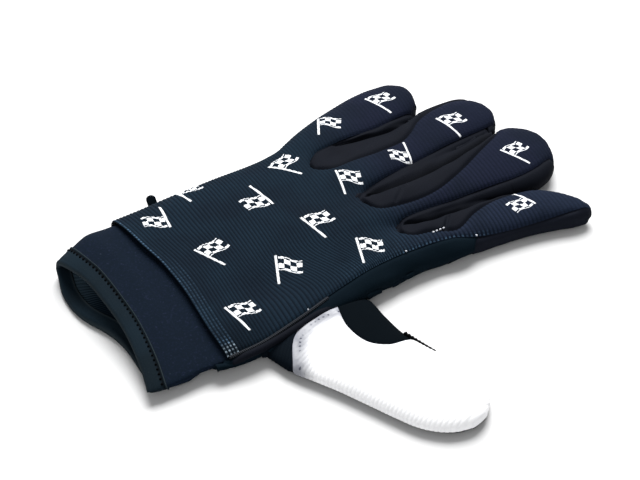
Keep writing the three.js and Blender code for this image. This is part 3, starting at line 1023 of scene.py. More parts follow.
# Where the small racing flags lie on the back: x, y, turn in degrees, scale.
FLAGS = [
    (71, 72, 20, 1.15),
    (40, 65, -30, 1.15),
    (92, 42, 14, 1.15),
    (56, 29.5, 165, 1.0),
    (106, 10, 30, 1.1),
    (87, -23, 200, 1.05),
    (29, 25.5, -15, 1.1),
    (8, 49, 40, 1.2),
    (4, 8, 12, 1.2),
    (16, -17, -20, 1.15),
    (-17, 29, 190, 1.2),
    (-20, -11, -25, 1.2),
    (-37, 55, 8, 1.2),
    (-45, 12, 25, 1.2),
    (-49, -26, 10, 1.2),
    (-61, 38, 170, 1.15),
]


def laid_flat(points, reach):
    """The y of each place once the cloth past the crest of its row is laid out flat."""
    crest = points[..., 2].argmax(axis=1)
    rows = np.arange(len(points))
    past = reach - reach[rows, crest][:, None]
    return np.where(past > 0, points[rows, crest, 1][:, None] + past, points[..., 1])


def flag_layer(x, y):
    """Each place's own distances from the nearest flag, and how surely it is that one's."""
    best = np.full(x.shape, 1e9)
    second = np.full(x.shape, 1e9)
    a, b = np.zeros(x.shape), np.zeros(x.shape)
    for fx, fy, turn, scale in FLAGS:
        c, s = math.cos(math.radians(turn)), math.sin(math.radians(turn))
        dx, dy = x - fx, y - fy
        away = np.hypot(dx, dy)
        closer = away < best
        second = np.where(closer, best, np.minimum(second, away))
        best = np.where(closer, away, best)
        a = np.where(closer, (dx * c + dy * s) / scale, a)
        b = np.where(closer, (dy * c - dx * s) / scale, b)
    return np.stack([a, b, eased(4, 9, second - best)], -1)


def rib_rise(count, depth):
    """Broad ridges with narrow grooves between them."""
    return depth * (1 - np.abs(2 * (count % 1) - 1) ** RIB_SQUARE)


def ridges(count):
    """The same in a material: 1 on each rib's crest and 0 in its groove."""
    return 1 - abs(count.fraction() * 2 - 1) ** RIB_SQUARE


class GLOVE_OT_back(bpy.types.Operator):
    """The knit back of the hand and the tops of the fingers"""

    bl_idname = "glove.back"
    bl_label = "Knit back"

    def execute(self, context):
        sheet = Sheet()
        near = Edge(NEAR_LINE)
        far_x = np.linspace(-82, 96, 200)
        far = Edge(np.column_stack([far_x, far_outline(far_x, 0) + 1.2]))
        edges = [near]
        for name in GAPS:
            edges += GAP_EDGES[name][:2]
        edges.append(far)
        bands = list(zip(edges[::2], edges[1::2]))
        ribs = round((FINGERS_FROM - HEM_U) / glove_size("rib"))
        count = np.arange(ROWS_PER_RIB * ribs + 1) / ROWS_PER_RIB
        u = HEM_U + count * (FINGERS_FROM - HEM_U) / ribs
        offset = np.zeros(len(u))
        at_root = {}
        for name, (start, end) in zip(FINGERS, bands):
            y = between(start.at(u), end.at(u))
            x = row_x(u[:, None], y)
            low = BACK_LOW if name == "little" else UNCUT
            points, reach = draped(x, y, back_height(x, y), low, 7)
            free = eased(-45, -38, points[..., 1]) * (1 - eased(36, 48, points[..., 1]))
            points[..., 2] += HEM_LIFT * (1 - eased(0, 3, count))[:, None] * free
            across = reach + offset[:, None]
            offset = offset + reach[:, -1]
            at_root[name] = across[-1, 0]
            flat_y = laid_flat(points, reach) if name == "little" else points[..., 1]
            counts = filled(count, across)
            self._lay(sheet, points, counts, across, 1.0, flat_y)
        for name, (start, end) in zip(FINGERS, bands):
            self._finger(sheet, name, start, end, ribs, at_root[name])
        wall = glove_size("knit_wall")
        sheet.finish("knit_back", "back_knit", rib_knit(), ["back_panel"], wall)
        return {"FINISHED"}

    def _finger(self, sheet, name, start, end, ribs, offset):
        """A finger's top from its root to its tip, with the ribs counted on from the hand's."""
        limb = FINGERS[name]
        spine_x = np.linspace(FINGERS_FROM, limb.end, 400)
        centre = (limb.near(spine_x) + limb.far(spine_x)) / 2
        spine = along(np.column_stack([spine_x, limb.top(spine_x, centre)]))
        finger_ribs = round(spine[-1] / glove_size("finger_rib"))
        count = np.arange(ROWS_PER_RIB * finger_ribs + 1) / ROWS_PER_RIB
        u = np.interp(count / finger_ribs * spine[-1], spine, spine_x)
        y = between(start.at(u), end.at(u))
        x = filled(u, y)
        low = BACK_LOW if name == "little" else np.where(u > FINGERS_FROM + 1, BACK_LOW, UNCUT)
        points, reach = draped(x, y, back_height(x, y), low, 7)
        points = closed_end(points, limb)
        across = more_rows(reach) + offset
        counts = filled(ribs + more_rows(count), across)
        fade = np.where(np.arange(len(points)) >= len(count) - ROWS_PER_RIB, 0.0, 1.0)[:, None]
        flat_y = laid_flat(points, more_rows(reach)) if name == "little" else points[..., 1]
        self._lay(sheet, points, counts, across, fade, flat_y)

    def _lay(self, sheet, points, count, across, fade, flat_y):
        """Lays rows of the back, with their ribs, seams, flags and painted highlights."""
        x, y = points[..., 0], points[..., 1]
        strong = 1 - 0.4 * eased(-30, 20, x) * eased(-10, 30, y) - 0.3 * eased(15, 60, x)
        strong = strong * (1 - 0.5 * eased(75, 110, x))
        weave = np.stack([count, across, strong], -1)
        rise = rib_rise(count, glove_size("rib_depth") * strong * fade) + seam_pinch(points)
        flags = flag_layer(x, flat_y)
        sheet.lay(points, weave=weave, finish=flags, rise=rise, gleam=self._gleam(x, y, count))

    def _gleam(self, x, y, count):
        """Where painted highlights lie on the knit's rib crests: on the hem and along the thumb's
        side.
        """
        hem = (1 - eased(3.7, 4.3, count)) * (0.08 + 0.62 * (1 - eased(-42, -36, y)))
        hem = hem * (1 - eased(0, 20, y))
        far_hem = (1 - eased(0.8, 1.3, count)) * eased(-20, 20, y) * 0.3
        inwards = y - near_line_y(x)
        side = bell(inwards, 0.6, 0.7) * eased(5, 40, x) * (1 - eased(60, 74, x))
        soft = bell(inwards, 5, 3) * eased(-15, 10, x) * (1 - eased(25, 45, x))
        return np.clip(hem + far_hem + side * 0.34 + soft * 0.07, 0, 1)


def rib_knit(name="rib_knit", shade=1.0):
    """Dark knit: painted light on its ridges and painted shade in its grooves over the real ribs,
    painted highlights on the crests by the hem and the thumb's side, a lighter index finger as
    painted light, fine stitches and white motifs rubbed thin in places.
    """
    board = Board(name, Roughness=0.85, Specular_IOR_Level=0.04)
    count, across, show = board.attribute("weave")
    a, b, sure = board.attribute("finish")
    ridge = ridges(count)
    place = board.place()
    mottled = board.noise(place, 900, 3, 0.6)
    broad = board.noise(place, 55, 2)
    stitch = (across * (2 * math.pi / STITCH_LONG) + count.floored() * 2.1).wave()
    # Painted light on the ridges and painted shade in the grooves, with random mottling and
    # stitches.
    light = (ridge * show + (1 - show) * 0.72) * (0.6 + mottled * 0.8) * (0.85 + stitch * 0.15)
    along_x, across_y, _ = board.parts(place)
    # Bluer towards the fingertips, and lighter on the index finger as painted light.
    index_side = 1 - across_y.rising(0.002, 0.012)
    bluish, painted_light_index = (shaded(tint, shade) for tint in (lit(37, 43, 66), lit(44, 55, 78)))
    towards_tips = board.mix(index_side, bluish, painted_light_index)
    knit = board.mix(along_x.rising(0.01, 0.05), shaded(glove_colour("knit"), shade), towards_tips)
    knit = board.mix(broad.rising(0.35, 0.7) * 0.5, knit, shaded(lit(25, 34, 48), shade))
    cloth = board.mix(light.clamped(), glove_colour("groove"), knit)
    corner = (1 - along_x.rising(-0.07, -0.04)) * (1 - across_y.rising(-0.03, 0.0))
    cloth = board.mix(corner * 0.5, cloth, lit(4, 10, 17))
    # Painted highlights on the rib crests by the hem and the thumb's side, broken into beads along
    # each rib.
    gleam = board.node("ShaderNodeAttribute", {"attribute_name": "gleam"}, out="Fac")
    crest = ridge.rising(0.72, 0.98)
    bead = (across * (2 * math.pi / BEAD_LONG)).wave().rising(0.45, 0.85)
    broken = board.noise(place, 420, 1).rising(0.42, 0.56) * 0.6 + 0.4
    thread = gleam * crest * ((1 - gleam) * 0.3 + bead * (gleam * 0.4 + 0.6)) * broken
    painted_highlight_colour = board.mix(gleam.rising(0.4, 0.65), glove_colour("painted_highlight_colour"), lit(170, 190, 205))
    cloth = board.mix((thread * 2).clamped(), cloth, painted_highlight_colour)
    flag = racing_flag(a, b, sure)
    wear_and_painted_light = flag * (0.55 + ridge * 0.45) * (0.8 + mottled * 0.4)
    cloth = board.mix(wear_and_painted_light.clamped(), cloth, glove_colour("print"))
    height = stitch * ridge * 0.5 + mottled * 0.5
    return board.paint(Base_Color=cloth, Normal=board.bump(height, 0.12, 0.5))


def racing_flag(a, b, sure):
    """A small chequered flag on its stick, in millimetres from its middle."""
    cell, many = 2.2, 40.0
    skew = b + a * 0.22 + (a * 0.75).sine() * 0.45
    column, row = (a / cell + many).floored(), (skew / cell + many).floored()
    chequer = ((column + row) * 0.5).fraction().above(0.25)
    inside = (1 - abs(a).rising(4.1, 4.35)) * (1 - abs(skew).rising(3.05, 3.3))
    stick = 1 - abs(a + 4.9 + b * 0.06).rising(0.32, 0.55)
    stick = stick * (1 - abs(b + 2.2).rising(6.4, 6.9))
    rim = inside * abs(skew).rising(2.75, 2.95)
    return ((chequer * inside).most(stick).most(rim) * sure.rising(0.3, 0.9)).clamped()


class GLOVE_OT_strips(bpy.types.Operator):
    """The smooth strips in the valleys between the fingers and beside the index finger"""

    bl_idname = "glove.strips"
    bl_label = "Side strips"

    def execute(self, context):
        # The valleys get a darker copy of the fabric as painted shade, the strip beside the index
        # finger a lighter copy as painted light.
        material = smooth_fabric("valley_fabric", 0.95)
        for name, gap in GAPS.items():
            self._valley(name, gap, material)
        self._index_side(smooth_fabric("index_fabric", 1.4))
        return {"FINISHED"}

    def _valley(self, name, gap, material):
        """The strip between two fingers, in two halves that meet in a groove."""
        near_edge, far_edge, curve = GAP_EDGES[name]
        crotch = float(rib_count(curve[:, 0], curve[:, 1]).min())
        first, second = (FINGERS[n] for n in gap["fingers"])
        web, shift = Table(gap["web"]), Table(gap["slit"])
        sheet = Sheet()
        for side, end in enumerate(gap["ends"]):
            start = crotch - TUCKED
            x = start + (end - start) * np.linspace(0, 1, 170) ** 1.15
            tucked = TUCKED + TUCKED_AT_TIPS * eased(-14, -6, x - end)
            near_y = np.minimum(near_edge.at(x), first.far(x)) - tucked
            far_y = np.maximum(far_edge.at(x), second.near(x)) + tucked
            slit = (first.far(x) + second.near(x)) / 2 + shift.at(x)[..., 0]
            wide = far_y - near_y
            share = np.clip((slit - near_y) / np.maximum(wide, 0.01), 0, 1)
            gone = eased(0, 10, x - crotch)
            share = np.clip(share, 0.35 - 0.31 * gone, 0.65 + 0.31 * gone)
            middle = near_y + share * wide
            y = between(near_y, middle) if side == 0 else between(middle, far_y)
            full_x = filled(x, y)
            heights = [first.top(full_x, y), second.top(full_x, y), hand_top(full_x, y)]
            heights.append(filled(web.at(x)[..., 0], y))
            z = soft_top(heights) + crumple(full_x, y) * 0.5
            low = STRIP_LOW + (TIP_LOW - STRIP_LOW) * eased(end - 2.5, end, x)
            points, reach = draped(full_x, y, z, low, 12)
            deep = self._groove(points, reach, side, crotch + gap["slit_from"])
            deep *= 1 - eased(-15, -6, points[..., 0] - end)
            folds = self._folds(points, reach, side, crotch, gap["slit_from"])
            sunk = gap["groove"] * deep * eased(2, 8, points[..., 2])
            folds -= sunk * np.minimum(reach[:, -1:] / NARROW, 1)
            folds += self._creases(points, gap["creases"])
            # The groove's bottom gets painted shade.
            self._lay(sheet, points, reach, folds, 1 - GROOVE_PAINTED_SHADE * gap["groove"] * deep)
        nodes = ["side_strip_" + name]
        sheet.finish("strip_" + name, "smooth_fabric", material, nodes, SIDE_WALL)

    def _creases(self, points, lines):
        """Sharp folds across a strip, each between two soft shoulders."""
        rise = np.zeros(points.shape[:2])
        for start, end, deep in lines:
            start, way = np.array(start), np.array(end) - np.array(start)
            share = np.clip(((points[..., :2] - start) @ way) / (way @ way), 0, 1)
            away = np.linalg.norm(points[..., :2] - start - share[..., None] * way, axis=-1)
            rise += deep * (0.5 * bell(away, 2.4) - 1.4 * bell(away, 0.7))
        return rise

    def _groove(self, points, reach, side, opened_from):
        """How near a place is to the bottom of the valley, where the strip's halves meet."""
        from_slit = reach[:, -1:] - reach if side == 0 else reach
        return bell(from_slit, GROOVE_WIDE) * eased(0, 10, points[..., 0] - opened_from)

    def _folds(self, points, reach, side, crotch, slit_from):
        """How the strip swells between its seam and the slit, and how it creases."""
        length = np.maximum(reach[:, -1:], 0.01)
        share = reach / length
        from_slit = length - reach if side == 0 else reach
        past = points[..., 0] - crotch
        opened = eased(slit_from, slit_from + 8, past)
        whole = np.sin(math.pi / 2 * share) if side == 0 else np.cos(math.pi / 2 * share)
        hump = opened * np.sin(math.pi * share) + (1 - opened) * whole
        swell = SWELL[side] * hump * np.minimum(length / NARROW, 1)
        slanted = points[..., 0] / 3.1 + 1.6 * np.sin(past / 7.7 + side) - 2.4 * share
        crease = (0.16 + 0.3 * bell(past, 26)) * np.sin(slanted) * np.sin(math.pi * share)
        slit = -SLIT_DEEP * bell(from_slit, SLIT_WIDE) * eased(slit_from, slit_from + 4, past)
        under_knit = -UNDER_KNIT * (1 - eased(-0.5, 1.4, past))
        return swell + crease + slit + under_knit

    def _index_side(self, material):
        """The strip beside the index finger, from the palm's leaf to the tip."""
        limb = FINGERS["index"]
        x = LEAF_END + (limb.end - LEAF_END) * np.sin(np.linspace(0, math.pi / 2, 130))
        end = np.maximum(Edge(NEAR_LINE).at(x), limb.near(x) + 0.02) + TUCKED
        y = between(limb.near(x) - 0.6, end)
        full_x = filled(x, y)
        low = STRIP_LOW + (TIP_LOW - STRIP_LOW) * eased(limb.end - 4, limb.end, x)
        points, reach = draped(full_x, y, limb.top(full_x, y), low, 9)
        points = closed_end(points, limb)
        reach = more_rows(reach)
        share = reach / reach[:, -1:]
        x = points[..., 0]
        crease = 0.22 * np.sin(x / 4.3 + 1.2 * np.sin(x / 9) + 2 * share)
        swell = (0.35 + crease) * np.sin(math.pi * share) * (1 - eased(104, 114, x))
        sheet = Sheet()
        self._lay(sheet, points, reach, swell - 0.5 * (1 - eased(LEAF_END, LEAF_END + 5, x)))
        nodes = ["side_strip_index"]
        sheet.finish("strip_index", "smooth_fabric", material, nodes, SIDE_WALL)

    def _lay(self, sheet, points, reach, folds, shown=1.0):
        """Lays rows of a strip, with its folds and how much of its colour shows through the painted
        shade of the valley's groove.
        """
        weave = np.stack([points[..., 0], reach, np.broadcast_to(shown, reach.shape)], -1)
        sheet.lay(points, weave=weave, rise=seam_pinch(points, 0.95) + folds - 0.06)


def smooth_fabric(name="smooth_fabric", shade=1.0):
    """Dark stretch fabric, smooth but for its fine grain, with painted shade in the valley's
    groove. A shade above one gives a lighter copy as painted light, below one a darker copy as
    painted shade.
    """
    board = Board(name, Roughness=0.8, Specular_IOR_Level=0.04)
    place = board.place()
    _, _, shown = board.attribute("weave")
    grain = board.noise(place, 1400, 2, 0.6)
    broad = board.noise(place, 90, 2)
    base = shaded(glove_colour("strip"), shade)
    cloth = board.mix((broad * 1.3 - 0.2).clamped(), base, shaded(lit(26, 29, 38), shade))
    cloth = board.mix((grain * 0.5).clamped(), cloth, shaded(lit(16, 20, 28), shade))
    # Painted shade in the valley's groove.
    cloth = board.mix((1 - shown).clamped(), cloth, lit(5, 7, 11))
    return board.paint(Base_Color=cloth, Normal=board.bump(grain, 0.1, 0.5))


class GLOVE_OT_palm(bpy.types.Operator):
    """The palm, up the thumb's side of the hand, and the undersides of the fingers"""

    bl_idname = "glove.palm"
    bl_label = "Palm"

    def execute(self, context):
        sheet = Sheet()
        x = np.linspace(PALM_HEM, PALM_FINGERS_FROM, 150)
        self._wrapped(sheet, x, far_outline(x, 2) + PAST_OUTLINE, PALM_HIGH, 22)
        x = np.linspace(PALM_FINGERS_FROM, LEAF_END, 28)
        self._wrapped(sheet, x, FINGERS["index"].far(x) + PAST_OUTLINE, PALM_LOW, 8)
        for name in FINGERS:
            self._finger(sheet, name, LEAF_END if name == "index" else PALM_FINGERS_FROM)
        sheet.finish("palm", "palm_suede", suede(), ["palm_panel"], PALM_WALL)
        return {"FINISHED"}

    def _under(self, x, y):
        """The lower side of the hand and the fingers together."""
        heights = [HAND.under(x, y)] + [FINGERS[name].under(x, y) for name in FINGERS]
        return np.maximum(-soft_top([-z for z in heights]), 0)

    def _wrapped(self, sheet, x, far, limit, inner):
        """From the knit's edge on the thumb's side down the hand and across below it."""
        near_line = near_line_y(x)
        outline = np.minimum(HAND.near(x), np.where(x > 2, FINGERS["index"].near(x), 0))
        upper = between(near_line + TUCKED, outline - 0.15)
        share = np.clip((upper - outline[:, None]) / (near_line - outline)[:, None], 0, 1)
        lean = LEAN * eased(PALM_FINGERS_FROM, LEAF_END, x)[:, None]
        back = HEM_BACK * (1 - eased(PALM_HEM, -46, x))[:, None]
        upper_x = x[:, None] + lean * share
        points, reach = draped(upper_x, upper, back_height(upper_x, upper), SIDE_LOW, 10)
        points[..., 0] -= back * reach / reach[:, -1:]
        lower = between(points[:, -1, 1], far)
        lower_x = np.broadcast_to(x[:, None] - back, lower.shape)
        lower_z = self._under(lower_x, lower)
        lower_z[:, 0] = points[:, -1, 2]
        base = draped_below(lower_x, lower, lower_z, limit, inner)
        whole = np.concatenate([points, base], axis=1)
        sheet.lay(whole, under=True, rise=self._side_folds(whole, outline))

    def _side_folds(self, whole, outline):
        """The hem drawn in to the cuff, the groove under the binding, and the bulge at the
        index finger's root."""
        x, y, z = np.moveaxis(whole, -1, 0)
        beside = bell(y - outline[:, None], 6)
        drawn_in = -HEM_IN * (1 - eased(-72, -64, x[:, -1:]))
        deep, wide, high = SIDE_GROOVE
        groove = -deep * bell(z, wide, high) * eased(-70, -60, x) * (1 - eased(-32, -24, x))
        deep, along_x, along_z = BULGE
        bulge = deep * bell(x, *along_x) * bell(z, *along_z) * beside
        creases = 0.25 * np.sin(x / 3.3 + z / 2.1) * beside * eased(-20, 5, x)
        return seam_pinch(whole, 0.75) + drawn_in + groove + bulge + creases

    def _finger(self, sheet, name, start):
        """A finger's underside."""
        limb = FINGERS[name]
        x = start + (limb.end - start) * np.sin(np.linspace(0, math.pi / 2, 70))
        limit = PALM_LOW + (PALM_HIGH - PALM_LOW) * eased(limb.end - 10, limb.end - 5, x)
        sheet.lay(closed_end(underside(limb, x, limit, 8), limb), under=True)


def suede(name="suede", shade=1.0):
    """Plain black synthetic suede, darker where its shade is less than one."""
    board = Board(name, Roughness=0.9, Specular_IOR_Level=0.03)
    place = board.place()
    nap = board.noise(place, 1800, 3, 0.7)
    broad = board.noise(place, 70, 2)
    cloth = board.mix(nap, shaded(glove_colour("suede"), shade), shaded(lit(20, 36, 47), shade))
    cloth = board.mix((broad * 0.8).clamped() * 0.6, cloth, shaded(lit(10, 21, 29), shade))
    return board.paint(Base_Color=cloth, Normal=board.bump(nap, 0.12, 0.6))


class GLOVE_OT_thumb(bpy.types.Operator):
    """The thumb: pale knit back, dark gusset and root panel, black underside"""

    bl_idname = "glove.thumb"
    bl_label = "Thumb"

    def execute(self, context):
        edges = self._edges()
        self._back(edges)
        self._gusset(edges)
        self._base()
        self._underside()
        return {"FINISHED"}

    def _edges(self):
        """The two seams of its pale back, in the thumb's own x and y."""
        lines = {"root": PALE_ROOT_EDGE, "gusset": GUSSET_EDGE}
        return {name: to_thumb(*smooth_curve(line).T) for name, line in lines.items()}

    def _place(self, points):
        """Places of the thumb in the layout of the glove."""
        placed = points.copy()
        placed[..., 0], placed[..., 1] = from_thumb(points[..., 0], points[..., 1])
        return placed

    def _back(self, edges):
        """The pale knit, ribbed across from the root's seam to the tip."""
        root_x, root_y = edges["root"]
        turn = int(root_x.argmin())
        gusset_x, gusset_y = edges["gusset"]
        start = root_x[turn]
        spine_x = np.linspace(start, THUMB.end, 300)
        spine = along(np.column_stack([spine_x, THUMB.top(spine_x, 0 * spine_x)]))
        ribs = round(spine[-1] / glove_size("thumb_rib"))
        count = np.arange(ROWS_PER_THUMB_RIB * ribs + 1) / ROWS_PER_THUMB_RIB
        x = np.interp(count / ribs * spine[-1], spine, spine_x)
        near_y = np.interp(x, root_x[:turn + 1][::-1], root_y[:turn + 1][::-1])
        near_y = np.where(x > root_x[0], THUMB.near(x) - 0.2, near_y)
        near_y = np.maximum(near_y, THUMB.near(x) - 0.2)
        upper_x = np.concatenate([root_x[turn:], gusset_x])
        upper_y = np.concatenate([root_y[turn:], gusset_y])
        far_y = np.interp(x, np.maximum.accumulate(upper_x), upper_y)
        far_y = np.minimum(np.where(x > gusset_x[-1], 99, far_y), THUMB.far(x) + 0.2)
        y = between(near_y, far_y)
        full_x = filled(x, y)
        points, reach = draped(full_x, y, THUMB.top(full_x, y), THUMB_SPLIT, 12)
        points = closed_end(points, THUMB, low=THUMB_SPLIT)
        reach = more_rows(reach)
        counts = filled(more_rows(count), reach)
        placed = self._place(points)
        edge = seam_distance(placed, THUMB_SEAMS)
        depth = glove_size("thumb_rib_depth") * (0.3 + 0.7 * eased(0.5, 4, edge))
        rise = rib_rise(counts, depth) + thumb_pinch(placed)
        weave = np.stack([counts, reach, edge], -1)
        along_root = seam_reach(placed, finely(smooth_curve(PALE_ROOT_EDGE)))
        one_sheet(
            placed, "thumb_back_knit", "pale_knit", pale_knit(), ["thumb_back"], PALM_WALL,
            weave=weave, finish=along_root, rise=rise,
        )

    def _gusset(self, edges):
        """The dark panel along the thumb's far side."""
        gusset_x, gusset_y = edges["gusset"]
        x = np.linspace(gusset_x[0] - 3, gusset_x[-1], 90)
        start = np.interp(x, gusset_x, gusset_y)
        end = THUMB.far(x) + PAST_OUTLINE
        y = between(np.minimum(start, end - 0.4), end)
        full_x = filled(x, y)
        points, _ = draped(full_x, y, THUMB.top(full_x, y) - 0.35, THUMB_SPLIT, 8)
        placed = self._place(points)
        one_sheet(
            placed, "gusset", "palm_suede", suede("gusset_suede", 0.4), ["thumb_gusset"],
            SIDE_WALL, rise=thumb_pinch(placed),
        )

    def _base(self):
        """The dark panel at its root, from the hand's seam to the pale knit's."""
        t = np.linspace(0, 1, SAMPLES)
        seam = finely(smooth_curve(THUMB_ROOT_SEAM[:4]), 0.3)
        edge = finely(smooth_curve(PALE_ROOT_EDGE), 0.3)
        seam, edge = (resampled(line, np.linspace(0, 1, len(line)), t) for line in (seam, edge))
        share = np.linspace(-0.12, 1, 40)[:, None, None]
        x, y = np.moveaxis(seam[None] + (edge[None] - seam[None]) * share, -1, 0)
        thumb_x, thumb_y = to_thumb(x, y)
        z = soft_top([THUMB.top(thumb_x, thumb_y), HAND.top(x, y) - 0.6])
        points, reach = draped(x, y, z, THUMB_SPLIT, 24)
        count = (points[..., 0] * 0.75 - points[..., 1] * 0.65) / 1.5
        rise = rib_rise(count, 0.25) + thumb_pinch(points)
        weave = np.stack([count + 20, reach, np.ones_like(reach)], -1)
        one_sheet(
            points, "thumb_root_knit", "back_knit", rib_knit("root_knit", 0.3), ["thumb_base"],
            SIDE_WALL, weave=weave, finish=np.zeros_like(points), rise=rise,
        )

    def _underside(self):
        """Its lower side, closed under the tip."""
        x = np.concatenate([
            np.linspace(-14, 60, 60)[:-1],
            60 + (THUMB.end - 60) * np.sin(np.linspace(0, math.pi / 2, 40)),
        ])
        points = closed_end(underside(THUMB, x, THUMB_PALM, 10), THUMB, low=THUMB_SPLIT)
        one_sheet(
            self._place(points), "thumb_underside", "palm_suede", suede(), ["thumb_palm"],
            SIDE_WALL, under=True,
        )


def pale_knit():
    """White rib knit, greyer in its grooves as painted shade, greyer still along its root seam as
    painted shade, with needle holes along its stitched edge.
    """
    board = Board("pale_knit", Roughness=0.8, Specular_IOR_Level=0.2)
    count, _, edge = board.attribute("weave")
    away, reach, _ = board.attribute("finish")
    ridge = ridges(count)
    place = board.place()
    mottled = board.noise(place, 1100, 2, 0.6)
    broad = board.noise(place, 160, 2, 0.5)
    # Greyer between the ribs: painted shade in the grooves.
    cloth = board.mix((1 - ridge) * 0.12, glove_colour("pale"), tone(206, 207, 214))
    # A patchy lilac grey band along the root's seam: painted shade.
    root = (1 - away.rising(2.5, 11)) * (0.74 + broad.rising(0.35, 0.6) * 0.22)
    cloth = board.mix(root, cloth, tone(126, 128, 136))
    cloth = board.mix((1 - edge.rising(0.1, 1.2)) * 0.5, cloth, tone(150, 152, 164))
    spot = abs((reach * (1 / HOLES_APART)).fraction() - 0.5).rising(0.1, 0.24)
    hole = (1 - spot) * (1 - abs(away - 3.1).rising(0.3, 0.55)) * broad.rising(0.44, 0.52)
    cloth = board.mix((hole * 1.5).clamped() * 0.85, cloth, tone(58, 60, 72))
    cloth = board.mix(((mottled - 0.55) * 2.5).clamped() * 0.1, cloth, tone(200, 202, 210))
    return board.paint(Base_Color=cloth, Normal=board.bump(mottled, 0.1, 0.4))


class GLOVE_OT_cuff(bpy.types.Operator):
    """The stretch cuff, the tape folded over its rim and the tape's stitches"""

    bl_idname = "glove.cuff"
    bl_label = "Cuff"

    def execute(self, context):
        table = Table(CUFF_ROWS)
        self._band(table)
        self._fold(table)
        self._stitches(table)
        return {"FINISHED"}

    def _ring(self, table, at, turn):
        """The cuff's outer face at a station, all round or over the given turns."""
        near, far, high_near, high_far, base, boxy = table.at(np.array(at))
        middle = base + WIDEST * ((high_near + high_far) / 2 - base)
        across = np.sign(np.cos(turn)) * np.abs(np.cos(turn)) ** (2 / boxy)
        up = np.sign(np.sin(turn)) * np.abs(np.sin(turn)) ** (2 / boxy)
        y = near + (far - near) * (1 + across) / 2
        high = high_near + (high_far - high_near) * (1 + across) / 2
        below = np.maximum(base, middle + (middle - base + PRESSED) * up)
        z = np.where(up > 0, middle + (high - middle) * up, below)
        above = eased(1, 7, z - base)
        mouth_low = np.interp(y, *smooth_curve(MOUTH_BELOW).T)
        mouth_high = np.interp(y, *smooth_curve(MOUTH_ABOVE).T)
        mouth = mouth_low + (mouth_high - mouth_low) * above
        x = mouth + (CUFF_INNER_END - mouth) * at
        z = z - dent_depth(x, y) * eased(6.5, 9, z)
        return np.column_stack([x, y, z])

    def _rings(self, table, stations):
        """The outer face at several stations, all round."""
        turn = whole_turn(CUFF_SIDES)
        return np.array([self._ring(table, at, turn) for at in stations])

    def _inwards(self, rings):
        """The way into the cuff from each place of its rings, square to the wall."""
        ahead = np.roll(rings[:, :-1], -1, axis=1) - np.roll(rings[:, :-1], 1, axis=1)
        way = np.stack([np.zeros(ahead.shape[:2]), -ahead[..., 2], ahead[..., 1]], -1)
        way /= np.maximum(np.linalg.norm(way, axis=-1, keepdims=True), 1e-9)
        for _ in range(6):
            way = (np.roll(way, 1, axis=1) + way + np.roll(way, -1, axis=1)) / 3
        return np.concatenate([way, way[:, :1]], axis=1)

    def _swelling(self, rings, inwards):
        """How much thicker the wall is inside the lower lip, which is soft and puffed up."""
        middle, long, high = LIP_SWELLING
        lower = eased(0.3, 0.8, inwards[..., 2])
        return (high * lower * bell(rings[..., 1], long, middle))[..., None]

    def _finish(self, rings, shown, name, node, material):
        """A closed wall from its rings, the outer ones first, and what each ring shows."""
        rings = rings.copy()
        rings[..., 2] = np.maximum(rings[..., 2], 0)
        round_it = np.broadcast_to(np.linspace(0, 230, rings.shape[1]), rings.shape[:2])
        shown = np.broadcast_to(shown[:, None], rings.shape[:2])
        weave = np.stack([rings[..., 0], round_it, shown], -1)
        one_sheet(rings, name, "neoprene", material, [node], weave=weave)

    def _band(self, table):
        """The stretch cloth, outside and inside, from its hidden end to under the tape."""
        outer = self._rings(table, np.linspace(1, FOLD_END - 0.02, 60))
        beyond = self._rings(table, np.linspace(FOLD_END - 0.03, LINING_FROM, 8))
        inner = np.concatenate([outer, beyond])
        inwards = self._inwards(inner)
        inner = inner + inwards * (glove_size("cuff_wall") + self._swelling(inner, inwards))
        rings = np.concatenate([outer, inner[::-1], outer[:1]])
        outside = np.concatenate([np.ones(len(outer)), np.zeros(len(inner) + 1)])
        self._finish(rings, outside, "cuff_knit", "cuff_band", neoprene())

    def _fold(self, table):
        """The tape over the rim: a raised edge outside and inside, and a rounded lip."""
        long = CUFF_LONG * FOLD_END
        raised = [0, 0.12, 0.25, 0.4, 0.55, 0.7, 0.9, 1.1, 1.4, 1.8]
        from_end = np.concatenate([raised, np.linspace(2.3, long, 12)])
        outer = self._rings(table, FOLD_END * (1 - from_end / long))
        way = self._inwards(outer)
        edge_ridge = bell(from_end, 0.3, 0.5)
        proud = (0.15 + 0.5 * edge_ridge) * eased(0, 0.3, from_end)
        proud = (proud * (1 - eased(long - 1.5, long, from_end)))[:, None, None]
        lips = []
        for turned in np.linspace(0, math.pi, 11):
            out = np.array([-math.sin(turned) * TAPE_THICK * 0.45, 0, 0])
            deep = TAPE_THICK + self._swelling(outer[-1], way[-1]) * 0.6
            lips.append(outer[-1] + way[-1] * deep * (1 - math.cos(turned)) / 2 + out)
        stations = np.linspace(0, LINING_FROM + 0.015, 14)
        from_lining = (stations[-1] - stations) * CUFF_LONG
        lining_ridge = bell(from_lining, 0.35, 0.5)
        inner = self._rings(table, stations)
        inward = self._inwards(inner)
        grown = (0.6 + 0.4 * eased(0, 0.1, stations))[:, None, None]
        swelling = self._swelling(inner, inward) * grown
        inner = inner + inward * (TAPE_THICK + swelling + 0.5 * lining_ridge[:, None, None])
        closing = inner[-1:] - inward[-1:] * (TAPE_THICK - TAPE_EDGE)
        outer = outer - way * proud
        rings = np.concatenate([outer, lips[1:-1], inner, closing, outer[:1]])
